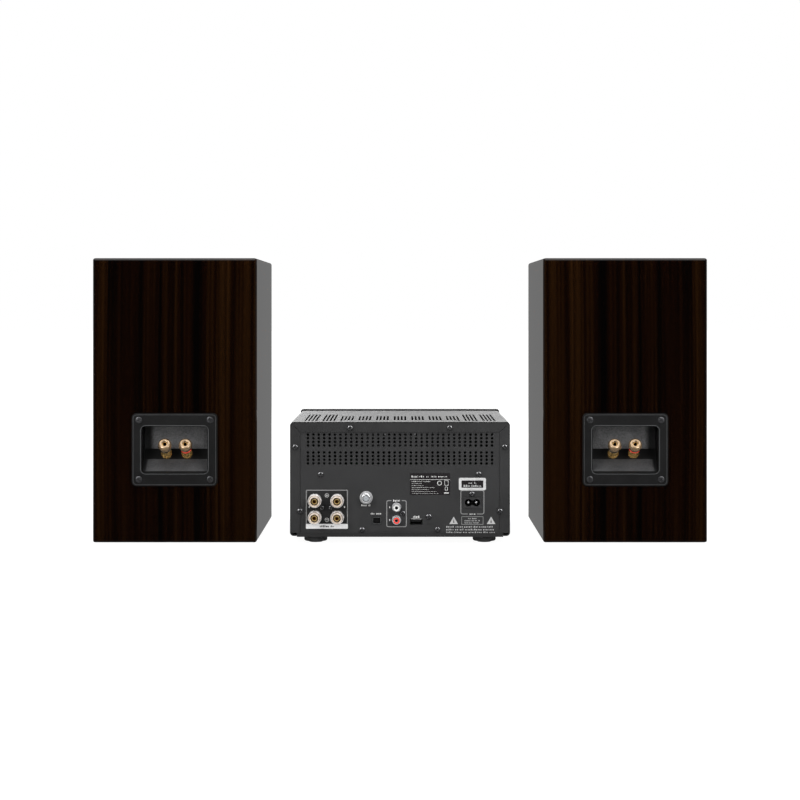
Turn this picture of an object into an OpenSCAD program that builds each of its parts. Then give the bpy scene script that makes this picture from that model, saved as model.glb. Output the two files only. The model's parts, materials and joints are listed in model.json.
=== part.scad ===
// Mini hifi system: a CD receiver between two bookshelf loudspeakers.
// Frame: millimetres, +Z up, front towards -Y, backs towards +Y. The origin is on the
// standing surface, under the centre of the whole system's box.

/* [System] */
// Distance from the receiver's centre plane to each speaker's centre plane
speaker_offset = 247; // [225:1:600]
// How far each speaker's back lies in front of the receiver's back
speaker_setback = 12; // [0:1:40]

/* [Receiver] */
// Width of the receiver case
case_w = 240; // [238:1:250]
// Height of the receiver case above its feet
case_h = 125.4; // [124:0.2:130]
// Depth of the receiver case behind the front panel
case_d = 245; // [240:1:270]
// Sheet metal thickness
sheet = 1.2; // [0.8:0.1:1.4]
// Corner radius of the case
case_r = 4; // [2:0.5:5]
// Width of the cover's folded rear flange
flange_w = 11; // [9:0.5:12]
// Depth of the front panel
panel_d = 13; // [12:1:16]
// Height of the feet, with their pads
foot_h = 7.6; // [6:0.2:10]
// Diameter of a foot
foot_dia = 25.4; // [20:0.2:28]
// Diameter of the volume knob
knob_dia = 44; // [36:1:46]

/* [CD loader] */
// Width of the disc tray
tray_w = 132; // [128:1:132]
// Travel of the disc tray
tray_travel = 130; // [110:1:130]
// Module of the tray's rack and pinion
gear_module = 1; // [1]
// Teeth on the tray's pinion
gear_teeth = 16; // [16]

/* [Speaker] */
// Width of a speaker
speaker_w = 180; // [176:1:200]
// Height of a speaker
speaker_h = 312; // [308:1:340]
// Depth of a speaker
speaker_d = 265; // [240:1:300]
// Thickness of the cabinet walls
wall = 12; // [10:1:14]
// Radius along the cabinet's edges
edge_r = 3; // [1.5:0.5:4]
// Outer diameter of the woofer's frame
woofer_dia = 134; // [126:1:136]
// Outer diameter of the tweeter's plate
tweeter_dia = 84; // [80:1:86]
// Inner diameter of the bass port
port_dia = 34; // [28:1:36]
// Tilt of the binding posts above level
post_tilt = 30; // [25:1:35]

/* [Hidden] */
$fn = 48;

gap = 0.3;             // clearance between neighbouring pieces
cut = 1;               // how far a cutter runs past a face

// ---- Places along Y: the box's front and rear are the same distance from the origin ----
baffle_inset = 0.6;    // the baffle's face lies this far inside the cabinet's front rim
trim_t = 2.4;          // thickness of the woofer's ring and the tweeter's plate
driver_screw = 6;      // head of the screws that hold the drivers
driver_screw_z = trim_t + 0.05;
front_reach = driver_screw_z + driver_screw * 0.34 - baffle_inset;
block_proud = 0.4;     // the terminal block stands this far out of the rear panel
cap_back = 3.4;        // the receiver's post caps start this far behind the block's face
cap_len = 16.2;
post_reach = cap_back + cap_len + block_proud - sheet;
rear_y = (speaker_setback + speaker_d + front_reach - post_reach) / 2;
case_front_y = rear_y - case_d;
panel_y = case_front_y - panel_d;
panel_face_y = rear_y - sheet;   // outer face of the rear panel, behind the flange
block_face = panel_face_y + block_proud;

// ---- Heights of the receiver ----
base_z = foot_h;
case_top = base_z + case_h;
hem_z = base_z + 1;    // the cover's hem is a little above the pan's floor
panel_lip = 1.7;       // the front panel stands above and below the case by this
board_z = base_z + 6.4;
board_t = 1.6;
board_posts = [for (x = [-100, 0, 100], y = [25, 112]) [x, y]];
foot_x = [-92.8, 92.8];
foot_y = [case_front_y + 25, rear_y - 24.7];
foot_screw = 4;
flange_foot = base_z + 4.4;    // the flange's two sides end here

// ---- Rear connectors: [x, height above the case's bottom edge] ----
post_xy = [[92.8, 40], [68.4, 40], [92.8, 21.8], [68.4, 21.8]];
block_c = [79.8, 32.3];
block_size = [43.6, 35.8];
antenna_c = [36.9, 42.9];
optical_c = [25.3, 17.8];
rca_c = [[3.8, 32.3], [3.8, 18.4]];
usb_c = [-17.7, 16.3];
mains_c = [-79, 37.3];
mains_size = [19.8, 12];
mains_pin_pitch = 8.6;
flange_screws = [[54.3, 118.8], [-54.3, 118.8], [114.3, 98], [-114.3, 98], [109.2, 28.1], [-109.2, 28.1]];
flange_tab = 7.4;                // round tabs on the flange under its lower screws
rca_screw = [-3, 25.5];
panel_screws = [[86.6, 68], [-86, 68.3], [41.4, 7.7], [-41, 7.9], [-31.3, 22.1], [-78.7, 46.6], rca_screw];
block_screws = [[85.2, 31.8], [75.5, 31.8]];
screw_shank = 3;
screw_head = 5.6;
block_screw_shank = 2.6;
post_thread = 6;
banana_dia = 4.1;                // bore of a binding post
antenna_dia = 9.5;               // thread of the aerial socket
rca_dia = 8.3;                   // shell of a phono socket
rca_boss = 10;
rca_bore = 3.3;                  // takes a phono plug's centre pin

// ---- Rear vents and top slots ----
vent_cols = 35;
vent_pitch_x = 5.91;
vent_pitch_z = 3.95;
vent_dia = 2.9;
vent_bands = [80.1, 99.6];       // lowest row of each band, above the case's bottom edge
vent_rows = 4;
slot_groups = 11;
slot_group_pitch = 19.7;
slots_in_group = 4;
slot_pitch = 3.95;
slot_w = 2;
slot_rear = 18;                  // from the case's back to the slots' rear ends
slot_short = 100;
slot_long = 135;

// ---- Front panel layout: [x, height above the standing surface] ----
door_c = [0, 112];
door_size = [138, 16];
window_c = [0, 76];
window_size = [128, 36];
knob_c = [92, 76];
power_c = [-92, 76];
phones_c = [-92, 38];
button_z = 38;
button_size = [20, 8];
button_x = [42, -14, -42, 14];   // eject, play, previous, next
power_dia = 15;
shaft_dia = 6;
phones_bore = 3.6;
panel_skin = 3;
control_y = panel_y + 9;         // front face of the control board

// ---- CD loader ----
tray_y = panel_y + 3;            // front edge of the tray, behind its door
tray_z = 109.2;
tray_t = 8;
tray_len = 167;
disc_dia = 121;
disc_y = tray_y + 66.5;          // centre of the disc and its spindle
tray_slot_w = 36;
pinion_r = gear_module * gear_teeth / 2;
rack_x = 40;                     // pitch line of the rack
pinion_x = rack_x + pinion_r;
pinion_y = tray_y + 30;
gear_z = tray_z - 4.8;
gear_t = 4.4;
loader_z = tray_z - 9.5;         // underside of the loader's deck
loader_half = 74;
rail_x = 12;
rail_z = tray_z - 2;
rail_dia = 3;
leg_xy = [for (x = [-68, 68], y = [-100, 10]) [x, y]];
spindle_shaft = 2.1;
sled_length = 20;

// ---- Speaker: places in the speaker's own frame, y = 0 at the cabinet's back ----
cup_z = 102;
cup_size = [94, 80];
cup_t = 3;                       // thickness of the cup's plate
cup_screws = [for (x = [-39, 39], z = [-32.5, 32.5]) [x, cup_z + z]];
recess_size = [73, 52];
recess_w = 72;
baffle_t = 16;
baffle_gap = 0.4;
baffle_face = -speaker_d + baffle_inset;
woofer_z = 135;
tweeter_z = woofer_z + woofer_dia / 2 + tweeter_dia / 2 + 4;
port_z = 40;
port_len = 105;
port_wall = 3;
wood_screw = 3.4;
tweeter_body_r = tweeter_dia / 2 - 10.5;
woofer_screw_r = woofer_dia / 2 - 5;
tweeter_screw_r = tweeter_dia / 2 - 5;
function screw_ring(z, r) = [for (a = [45 : 90 : 315]) [r * cos(a), z + r * sin(a)]];
woofer_screws = screw_ring(woofer_z, woofer_screw_r);
tweeter_screws = screw_ring(tweeter_z, tweeter_screw_r);
surround_r = woofer_dia / 2 - 10;
cone_r = surround_r - 9;         // where the cone meets its surround
basket_depth = 58;
magnet_r = 40;
magnet_t = 24;
coil_r = 13;
post_xs = [-11.3, 11.3];
speaker_cap_z = 12.9;            // a post's cap starts this far up its axis
speaker_cap_len = 12.9;
// section of the cup's cavity and of its shell, as [y, height from the cup's centre]
cavity = [[4, -26], [1, -25.2], [-18.8, -11.8], [-25.3, -0.6], [-25.3, 24.6], [1, 25.4], [4, 26]];
shell = [[0.5, -28], [-20.6, -14], [-27.8, -1.6], [-27.8, 27.2], [0.5, 28]];
post_foot = [-22.05, -6.2];      // where a post's axis meets the sloping shelf

// ======================= Shared shapes =======================

function arc(c, r, a0, a1, n = 6) =
  [for (i = [0 : n]) let (a = a0 + (a1 - a0) * i / n) [c[0] + r * cos(a), c[1] + r * sin(a)]];

function rounded(w, h, r, n = 6) = concat(
  arc([w / 2 - r, h / 2 - r], r, 0, 90, n),
  arc([-w / 2 + r, h / 2 - r], r, 90, 180, n),
  arc([-w / 2 + r, -h / 2 + r], r, 180, 270, n),
  arc([w / 2 - r, -h / 2 + r], r, 270, 360, n));

// Extrudes an [x, z] outline from y0 to y0 + t.
module along_y(y0, t) {
  translate([0, y0 + t, 0]) rotate([90, 0, 0]) linear_extrude(t) children();
}

// Extrudes a [y, z] outline from x0 to x0 + t.
module along_x(x0, t) {
  translate([x0, 0, 0]) rotate([90, 0, 90]) linear_extrude(t) children();
}

// A cylinder along Y from y0 to y0 + t, centred on [x, z].
module rod_y(c, d, y0, t) {
  translate([c[0], y0 + t, c[1]]) rotate([90, 0, 0]) cylinder(d = d, h = t);
}

// A box along Y from y0 to y0 + t, centred on [x, z].
module box_y(c, size, y0, t) {
  translate([c[0] - size[0] / 2, y0, c[1] - size[1] / 2]) cube([size[0], t, size[1]]);
}

// Turns a solid of revolution made about +Z so that +Z becomes the outward +Y.
module facing_rear() { rotate([-90, 0, 0]) children(); }

// The same, with +Z becoming the forward -Y.
module facing_front() { rotate([90, 0, 0]) children(); }

// A domed cross-head screw standing on z = 0, with its shank below.
module screw(head, shank, length) {
  dome = head * 0.34;
  difference() {
    union() {
      rotate_extrude() polygon([[0, 0], [head / 2, 0], [head / 2, dome * 0.45],
        [head * 0.42, dome * 0.8], [head * 0.25, dome], [0, dome]]);
      translate([0, 0, -length]) cylinder(d = shank, h = length + 0.01);
    }
    for (turn = [35, 125])
      translate([0, 0, dome]) rotate([0, 0, turn])
        cube([head * 0.62, head * 0.15, dome * 1.1], center = true);
  }
}

// A countersunk cross-head screw with its face at z = 0.
module flat_screw(head, shank, length) {
  difference() {
    union() {
      translate([0, 0, -head * 0.25]) cylinder(d1 = shank, d2 = head, h = head * 0.25);
      translate([0, 0, -length]) cylinder(d = shank, h = length - head * 0.25 + 0.01);
    }
    for (turn = [20, 110])
      rotate([0, 0, turn]) cube([head * 0.6, head * 0.14, head * 0.3], center = true);
  }
}

// ======================= Receiver: case =======================

// Moves to a point of the back: c is [x, height above the case's bottom edge].
module at_back(c, y) { translate([c[0], y, base_z + c[1]]) children(); }

function on_back(c) = [c[0], base_z + c[1]];

module cover_section() {
  h = case_top - hem_z;
  translate([0, hem_z + h / 2]) difference() {
    polygon(rounded(case_w, h, case_r));
    polygon(rounded(case_w - 2 * sheet, h - 2 * sheet, case_r - sheet));
    translate([-case_w / 2 + 7.2, -h / 2 - cut]) square([case_w - 14.4, cut + sheet + 0.1]);
  }
}

module rear_flange() {
  h = case_top - hem_z;
  along_y(rear_y - sheet, sheet) difference() {
    union() {
      difference() {
        translate([0, hem_z + h / 2]) polygon(rounded(case_w - 0.2, h - 0.2, case_r));
        translate([-case_w / 2 + flange_w, 0]) square([case_w - 2 * flange_w, case_top - flange_w]);
      }
      for (c = flange_screws) translate(on_back(c)) circle(d = flange_tab);
    }
    translate([-case_w / 2 - cut, 0]) square([case_w + 2 * cut, flange_foot]);
    // mitred corners
    for (side = [-1, 1])
      translate([side * (case_w / 2 - flange_w), case_top - flange_w]) rotate(side * -45)
        translate([-0.2, -1]) square([0.4, (flange_w - case_r) * sqrt(2) + 1]);
    for (c = flange_screws) translate(on_back(c)) circle(d = screw_shank + 0.2);
  }
}

// Slots are longer in the two outer groups of each side.
function slot_length(group) = (group < 2 || group > slot_groups - 3) ? slot_long : slot_short;

module top_slots() {
  for (group = [0 : slot_groups - 1], i = [0 : slots_in_group - 1]) {
    length = slot_length(group);
    x = (group - (slot_groups - 1) / 2) * slot_group_pitch + (i - (slots_in_group - 1) / 2) * slot_pitch;
    translate([x, rear_y - slot_rear - length / 2, case_top - sheet - cut])
      linear_extrude(sheet + 2 * cut) polygon(rounded(slot_w, length, slot_w / 2 - 0.05, 3));
  }
}

module top_cover() {
  color([0.10, 0.10, 0.10]) union() {
    difference() {
      along_y(case_front_y, case_d) cover_section();
      top_slots();
    }
    rear_flange();
  }
}

module vent_holes() {
  for (band = vent_bands, row = [0 : vent_rows - 1], col = [0 : vent_cols - 1])
    translate([(col - (vent_cols - 1) / 2) * vent_pitch_x, base_z + band + row * vent_pitch_z])
      circle(d = vent_dia, $fn = 16);
}

module rear_panel() {
  margin = 8;
  color([0.13, 0.13, 0.13]) along_y(panel_face_y - sheet, sheet) difference() {
    translate([-case_w / 2 + margin, base_z + sheet + 0.1])
      square([case_w - 2 * margin, case_h - 2 * sheet - 0.3]);
    vent_holes();
    translate(on_back(block_c)) square([block_size[0] + gap, block_size[1] + gap], center = true);
    translate(on_back(antenna_c)) circle(d = antenna_dia + 0.4);
    translate(on_back(optical_c)) square([9.8, 8], center = true);
    for (c = rca_c) translate(on_back(c)) circle(d = rca_boss + 0.2);
    translate(on_back(usb_c)) square([13.8, 6], center = true);
    translate(on_back(mains_c)) square([mains_size[0] + gap, mains_size[1] + gap], center = true);
    for (c = concat(flange_screws, panel_screws)) translate(on_back(c)) circle(d = screw_shank + 0.2);
  }
}

module chassis_base() {
  half = case_w / 2 - 7.5;
  pan_h = 14;
  front = case_front_y + 1;
  back = panel_face_y - sheet - 0.1;
  post_z = board_z - base_z;
  color([0.55, 0.56, 0.58]) union() {
    difference() {
      translate([-half, front, base_z]) cube([2 * half, rear_y - front, sheet]);
      // floor vents, and the holes that take the feet's screws
      for (x = [-4 : 4], y = [0 : 2])
        translate([x * 12 - 1.5, 50 - y * 45, base_z - cut]) cube([3, 30, sheet + 2 * cut]);
      for (x = foot_x, y = foot_y)
        translate([x, y, base_z - cut]) cylinder(d = foot_screw + 0.2, h = sheet + 2 * cut);
    }
    for (side = [-1, 1])
      translate([side < 0 ? -half : half - sheet, front, base_z]) cube([sheet, back - front, pan_h]);
    translate([-half, front, base_z]) cube([2 * half, sheet, pan_h]);
    // rear lip below the cover's flange
    translate([-half, rear_y - sheet, base_z]) cube([2 * half, sheet, flange_foot - base_z - 0.2]);
    for (c = board_posts) translate([c[0], c[1], base_z]) cylinder(d = 6, h = post_z);
    // four legs that hold the CD loader
    for (c = leg_xy) translate([c[0], c[1], base_z]) cylinder(d = 7, h = loader_z - base_z);
  }
}

module feet() {
  pad_h = 1.2;
  r = foot_dia / 2;
  color([0.12, 0.12, 0.12]) for (x = foot_x, y = foot_y) translate([x, y, 0]) union() {
    rotate_extrude() polygon([[0, 0], [7.1, 0], [7.4, 0.3], [7.4, pad_h], [r - 1.6, pad_h],
      [r - 0.5, pad_h + 0.5], [r, pad_h + 1.6], [r, foot_h], [0, foot_h]]);
    translate([0, 0, foot_h - 0.1]) cylinder(d = foot_screw, h = sheet + 2);
  }
}

module case_screws() {
  color([0.45, 0.45, 0.46]) {
    for (c = flange_screws) at_back(c, rear_y) facing_rear() screw(screw_head, screw_shank, 6);
    for (c = panel_screws) at_back(c, panel_face_y) facing_rear() screw(screw_head, screw_shank, 5);
    for (c = block_screws) at_back(c, block_face) facing_rear() screw(4.2, block_screw_shank, 5);
  }
}

// ======================= Receiver: front =======================

module button_outline(size) { polygon(rounded(size[0], size[1], size[1] / 2 - 0.05, 6)); }

module front_panel() {
  bottom = base_z - panel_lip;
  height = case_top + panel_lip - bottom;
  skin = panel_skin;
  c_z = bottom + height / 2;
  color([0.06, 0.06, 0.065]) difference() {
    along_y(panel_y, panel_d) translate([0, c_z]) polygon(rounded(case_w, height, 3));
    // hollow back
    along_y(panel_y + skin, panel_d) translate([0, c_z])
      polygon(rounded(case_w - 2 * skin, height - 2 * skin, 2));
    // softened front edge
    along_y(panel_y - cut, cut + 0.8) difference() {
      translate([0, c_z]) square([case_w + 4, height + 4], center = true);
      translate([0, c_z]) polygon(rounded(case_w - 1.6, height - 1.6, 2.4));
    }
    along_y(panel_y - cut, skin + 2 * cut) {
      translate(door_c) polygon(rounded(door_size[0] + 1, door_size[1] + 1, 1.5, 3));
      translate(window_c) polygon(rounded(window_size[0] + 0.4, window_size[1] + 0.4, 2.2, 4));
      for (x = button_x) translate([x, button_z]) button_outline(button_size + [0.8, 0.8]);
    }
    rod_y(power_c, power_dia + 0.8, panel_y - cut, skin + 2 * cut);
    rod_y(phones_c, 6.4, panel_y - cut, skin + 2 * cut);
    rod_y(knob_c, shaft_dia + 1.4, panel_y - cut, skin + 2 * cut);
    // shallow dish behind the knob
    rod_y(knob_c, knob_dia + 4, panel_y - cut, cut + 1);
  }
}

module display_window() {
  color([0.02, 0.02, 0.025]) along_y(panel_y + 0.2, 2.4)
    translate(window_c) polygon(rounded(window_size[0], window_size[1], 2, 4));
}

module control_board() {
  jack_len = 16;
  nose_len = 3.4;
  module_y = panel_y + 3.2;        // front of the display module, behind the window
  encoder_t = 4.8;
  color([0.10, 0.30, 0.16]) difference() {
    union() {
      box_y([0, 58], [212, 78], control_y, board_t);
      box_y(window_c, [118, 30], module_y, control_y - module_y + 0.1);
      // tact switches behind the buttons
      for (x = button_x) box_y([x, button_z], [6, 6], control_y - 1.6, 1.7);
      box_y(power_c, [6, 6], control_y - 1.6, 1.7);
      // rotary encoder for the volume
      box_y(knob_c, [14, 14], control_y - encoder_t, encoder_t + 0.1);
      // headphone socket
      rod_y(phones_c, 6, panel_y + 0.3, nose_len);
      rod_y(phones_c, 8, panel_y + nose_len, jack_len);
    }
    rod_y(knob_c, shaft_dia + 0.1, control_y - encoder_t - cut, 5);
    rod_y(phones_c, phones_bore, panel_y - cut, nose_len + jack_len - 1);
  }
}

module volume_knob() {
  r = knob_dia / 2;
  length = 17;
  skirt = 12.4;
  flutes = 60;
  color([0.75, 0.75, 0.77]) translate([knob_c[0], panel_y + 0.4, knob_c[1]]) facing_front() difference() {
    union() {
      translate([0, 0, 1]) linear_extrude(skirt) difference() {
        circle(r, $fn = 120);
        for (i = [0 : flutes - 1]) rotate(i * 360 / flutes) translate([r + 0.1, 0]) circle(d = 1.1, $fn = 6);
      }
      rotate_extrude() polygon([[0, 0], [r - 0.8, 0], [r - 0.5, 1], [r - 0.5, skirt + 1],
        [r - 1.6, length - 2.2], [r - 2, length - 1], [r - 3.2, length], [0, length]]);
      // shaft into the encoder
      translate([0, 0, -7.6]) cylinder(d = shaft_dia, h = 12);
    }
    // hollow skirt round the shaft
    translate([0, 0, -cut]) difference() {
      cylinder(r = r - 3, h = 8);
      cylinder(d = shaft_dia + 4, h = 8);
      translate([0, 0, -8]) cylinder(d = shaft_dia, h = 10);
    }
    // pointer mark
    translate([0, r - 7.5, length]) cube([1.6, 7, 1.2], center = true);
  }
}

module push_button(x) {
  color([0.70, 0.70, 0.72]) union() {
    along_y(panel_y - 1.2, 4.4) translate([x, button_z]) button_outline(button_size);
    along_y(panel_y + 3.2, 0.8) translate([x, button_z]) button_outline(button_size + [2.4, 2.4]);
    rod_y([x, button_z], 3, panel_y + 4, 2.4);
  }
}

module power_button() {
  color([0.70, 0.70, 0.72]) union() {
    translate([power_c[0], panel_y + 3.2, power_c[1]]) facing_front()
      rotate_extrude() polygon([[0, 0], [power_dia / 2, 0], [power_dia / 2, 4], [power_dia / 2 - 0.6, 4.6],
        [power_dia / 2 - 2.4, 4.6], [power_dia / 2 - 3, 4.1], [0, 4.1]]);
    rod_y(power_c, power_dia + 2.4, panel_y + 3.2, 0.8);
    rod_y(power_c, 3, panel_y + 4, 2.4);
  }
}

// ======================= Receiver: inside =======================

module main_board() {
  top = board_z + board_t;
  color([0.12, 0.32, 0.18]) union() {
    difference() {
      translate([-108, 16, board_z]) cube([216, 104, board_t]);
      for (c = board_posts) translate([c[0], c[1], board_z - cut]) cylinder(d = 3.2, h = board_t + 2 * cut);
    }
    // reservoir capacitors
    for (x = [-6, 20, 46]) translate([x, 40, top - 0.1]) cylinder(d = 22, h = 36);
    // small capacitors
    for (x = [-60 : 14 : 52]) translate([x, 64, top - 0.1]) cylinder(d = 8, h = 14);
    // integrated circuits and relays
    for (x = [-40, -12, 16]) translate([x - 8, 78, top - 0.1]) cube([16, 12, 2.6]);
    for (x = [60, 78]) translate([x - 7, 74, top - 0.1]) cube([14, 18, 16]);
    // tuner screening can
    translate([26, 88, top - 0.1]) cube([22, 14, 10]);
    // fuse holder and filter beside the mains inlet
    translate([-98, 84, top - 0.1]) cube([28, 9, 12]);
    translate([-62, 78, top - 0.1]) cube([18, 18, 17]);
  }
}

module power_transformer() {
  c = [-62, -38];
  color([0.62, 0.45, 0.20]) translate([c[0], c[1], base_z + sheet]) difference() {
    union() {
      // wound ring with a potted middle
      rotate_extrude($fn = 96) polygon(concat([[0, 2], [18, 1]], arc([35, 4], 4, 270, 360, 4),
        arc([35, 32], 4, 0, 90, 4), [[18, 36], [0, 35]]));
      // rubber pads, clamping dish and bolt
      cylinder(d = 60, h = 1.2);
      translate([0, 0, 35.8]) cylinder(d1 = 56, d2 = 50, h = 2);
      cylinder(d = 6, h = 41);
      translate([0, 0, 37]) cylinder(d = 10, h = 4, $fn = 6);
    }
    translate([0, 0, 36.6]) cylinder(d = 2.6, h = 6);
  }
}

module heatsink() {
  base_x = 70;
  front = -62;
  length = 60;
  height = 68;
  fins = 9;
  fin_t = 2;
  z0 = base_z + 6;
  color([0.68, 0.69, 0.70]) union() {
    translate([base_x, front, z0]) cube([5, length, height]);
    for (i = [0 : fins - 1])
      translate([base_x + 4.9, front + i * (length - fin_t) / (fins - 1), z0]) cube([28, fin_t, height]);
    // feet on the pan
    for (y = [front + 3, front + length - 9]) translate([base_x, y, base_z + sheet]) cube([5, 6, 5]);
    // power amplifier modules clamped to its face
    for (y = [front + 4, front + 36]) translate([base_x - 5, y, z0 + 20]) cube([5.1, 20, 24]);
  }
}

module mains_inlet() {
  depth = 12;
  face = panel_face_y + 0.6;
  lobe = 8.2;
  color([0.05, 0.05, 0.05]) union() {
    difference() {
      at_back(mains_c, 0) box_y([0, 0], mains_size, face - 20, 20);
      at_back(mains_c, 0) along_y(face - depth, depth + cut) {
        for (side = [-1, 1]) translate([side * mains_pin_pitch / 2, 0]) circle(d = lobe);
        square([mains_pin_pitch, lobe * 0.62], center = true);
      }
    }
    for (side = [-1, 1]) at_back(mains_c, 0)
      rod_y([side * mains_pin_pitch / 2, 0], 2.4, face - depth - 0.1, 9);
    // terminals down to the board
    for (side = [-1, 1]) at_back(mains_c, 0)
      translate([side * mains_pin_pitch / 2 - 1, face - 23, -4]) cube([2, 3.1, 8]);
  }
}

module antenna_socket() {
  color([0.78, 0.78, 0.78]) at_back(antenna_c, panel_face_y) facing_rear() difference() {
    union() {
      cylinder(d = 14.2, h = 1.2);
      translate([0, 0, 1.1]) cylinder(d = 13, h = 1.6, $fn = 6);
      translate([0, 0, -2.4]) cylinder(d = antenna_dia, h = 14.8);
      translate([-6, -6, -12]) cube([12, 12, 9.8]);
    }
    translate([0, 0, 4.4]) cylinder(d = 7.6, h = 10);
    translate([0, 0, -2]) cylinder(d = 1.4, h = 12);
  }
}

module optical_socket() {
  c = optical_c;
  color([0.04, 0.04, 0.04]) union() {
    difference() {
      at_back(c, 0) box_y([0, 0], [9.5, 7.7], panel_face_y - 12, 12.7);
      at_back(c, 0) along_y(panel_face_y - 0.9, 3) polygon(rounded(7.2, 5.8, 1.4, 2));
    }
    // shutter
    at_back(c, 0) box_y([0, 0.2], [6.6, 4.8], panel_face_y - 1, 0.7);
    at_back(c, 0) translate([-4.5, panel_face_y - 12, -c[1] + board_z - base_z + board_t])
      cube([9, 10, c[1] - board_z + base_z - board_t - 3.7]);
  }
}

module rca_sockets() {
  rca_len = 9;
  low = board_z + board_t;
  color([0.85, 0.85, 0.83]) union() {
    difference() {
      union() {
        translate([rca_c[0][0] - 6, panel_face_y - 12, low])
          cube([12, 12 - sheet - 0.1, base_z + rca_c[0][1] + 6 - low]);
        // ear for the fixing screw
        at_back(rca_screw, 0) box_y([0, 0], [7, 9], panel_face_y - 7, 7 - sheet - 0.1);
        for (c = rca_c) at_back(c, panel_face_y) facing_rear() union() {
          translate([0, 0, -sheet - 0.2]) cylinder(d = rca_boss, h = sheet + 1);
          cylinder(d = rca_dia, h = rca_len);
        }
      }
      for (c = rca_c) at_back(c, panel_face_y) facing_rear() {
        translate([0, 0, 1]) cylinder(d = 7.1, h = rca_len);
        translate([0, 0, -8]) cylinder(d = rca_bore, h = 20);
      }
      at_back(rca_screw, 0) rod_y([0, 0], screw_shank + 0.1, panel_face_y - 8, 9);
    }
    // insulators with their centre bores
    for (c = rca_c) at_back(c, panel_face_y) facing_rear() difference() {
      translate([0, 0, 0.9]) cylinder(d = 6.2, h = rca_len - 1.3);
      cylinder(d = rca_bore, h = 20);
    }
  }
}

module usb_socket() {
  c = usb_c;
  color([0.75, 0.75, 0.76]) union() {
    difference() {
      at_back(c, 0) box_y([0, 0], [13.2, 5.6], panel_face_y - 14, 14.4);
      at_back(c, 0) box_y([0, 0], [12.4, 4.8], panel_face_y - 12, 14);
    }
    at_back(c, 0) box_y([0, 1], [10.6, 1.6], panel_face_y - 12.2, 11);
    at_back(c, 0) translate([-6, panel_face_y - 14, -c[1] + board_z - base_z + board_t])
      cube([12, 10, c[1] - board_z + base_z - board_t - 2.7]);
  }
}

// ======================= Receiver: binding posts =======================

module terminal_block() {
  t = 9;
  color([0.05, 0.05, 0.05]) difference() {
    union() {
      at_back(block_c, 0) along_y(block_face - t, t) square(block_size, center = true);
      for (c = post_xy) at_back(c, block_face - 0.1) facing_rear() cylinder(d = 13, h = 1.1);
    }
    for (c = post_xy) at_back(c, 0) rod_y([0, 0], post_thread + 0.4, block_face - t - cut, t + 5);
    for (c = block_screws) at_back(c, 0) rod_y([0, 0], block_screw_shank + 0.2, block_face - 6, 7);
  }
}

module terminal_studs() {
  tip = post_reach - 1.2;
  color([0.80, 0.60, 0.28]) for (c = post_xy) at_back(c, block_face) facing_rear() difference() {
    union() {
      translate([0, 0, -14]) cylinder(d = post_thread, h = 14 + tip);
      translate([0, 0, 1.05]) cylinder(d = 12, h = 1.6);
      translate([0, 0, -12]) cylinder(d = 10, h = 2.9, $fn = 6);
    }
    translate([0, 0, tip - 15]) cylinder(d = banana_dia, h = 16);
  }
}

// A clamping cap: tapered shell with grip flutes, about the stud's axis.
module terminal_cap(i) {
  flutes = 18;
  color([0.84, 0.80, 0.76]) at_back(post_xy[i], block_face + cap_back) facing_rear() difference() {
    rotate_extrude() polygon([[post_thread / 2 + 0.1, 0], [6.9, 0], [7.4, 0.6], [7.4, 8], [6.9, 9],
      [5.9, cap_len - 1], [5.4, cap_len], [4.3, cap_len], [4.3, cap_len - 3.4],
      [post_thread / 2 + 0.1, cap_len - 3.4]]);
    for (k = [0 : flutes - 1]) rotate([0, 0, k * 360 / flutes])
      translate([7.75, 0, 1.2]) cylinder(d = 1.5, h = 6.6, $fn = 6);
  }
}

// ======================= Receiver: CD loader =======================

module cd_loader_frame() {
  front = -112;
  back = 48;
  half = loader_half;
  color([0.20, 0.20, 0.21]) union() {
    difference() {
      translate([-half, front, loader_z]) cube([2 * half, back - front, 3]);
      translate([-18, disc_y + 14, loader_z - cut]) cube([36, 60, 3 + 2 * cut]);
      translate([-60, -100, loader_z - cut]) cube([34, 120, 3 + 2 * cut]);
      translate([pinion_x, pinion_y, loader_z - cut]) cylinder(d = 3.1, h = 3 + 2 * cut);
      translate([0, disc_y, loader_z - cut]) cylinder(d = 16, h = 3 + 2 * cut);
    }
    for (side = [-1, 1]) {
      // side wall, ledge under the tray's edge and lip over it
      mirror([side < 0 ? 1 : 0, 0, 0]) {
        translate([half - 7, front, loader_z]) cube([7, back - front, 20]);
        translate([half - 13.9, front, loader_z]) cube([7, back - front, tray_z - gap - loader_z]);
        translate([half - 11.9, front, tray_z + tray_t + gap]) cube([5, back - front, 2]);
      }
      // pickup rail and its two end blocks
      rod_y([side * rail_x, rail_z], rail_dia, disc_y + 10, 71);
      for (y = [disc_y + 9, disc_y + 79])
        translate([side * rail_x - 3, y, loader_z + 2.9]) cube([6, 3, rail_z - loader_z + 0.1]);
    }
    // spindle motor
    translate([0, disc_y, 0]) difference() {
      translate([0, 0, loader_z - 3]) cylinder(d = 21, h = 10);
      translate([0, 0, loader_z - 3 - cut]) cylinder(d = spindle_shaft + 0.1, h = 12);
    }
    // loading motor under the deck
    translate([pinion_x - 24, pinion_y, loader_z - 19.9]) cylinder(d = 21, h = 20);
  }
}

// Rack teeth on the pitch line x = 0, pointing +X, with a space centred on y = 0.
module rack_teeth(first, last) {
  m = gear_module;
  pitch = PI * m;
  slope = tan(20);
  backlash = 0.12;
  for (i = [first : last]) translate([0, (i + 0.5) * pitch]) {
    half = pitch / 4 - backlash;
    polygon([[-1.25 * m, -half - 1.25 * m * slope], [0.95 * m, -half + 0.95 * m * slope],
      [0.95 * m, half - 0.95 * m * slope], [-1.25 * m, half + 1.25 * m * slope]]);
  }
}

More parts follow.
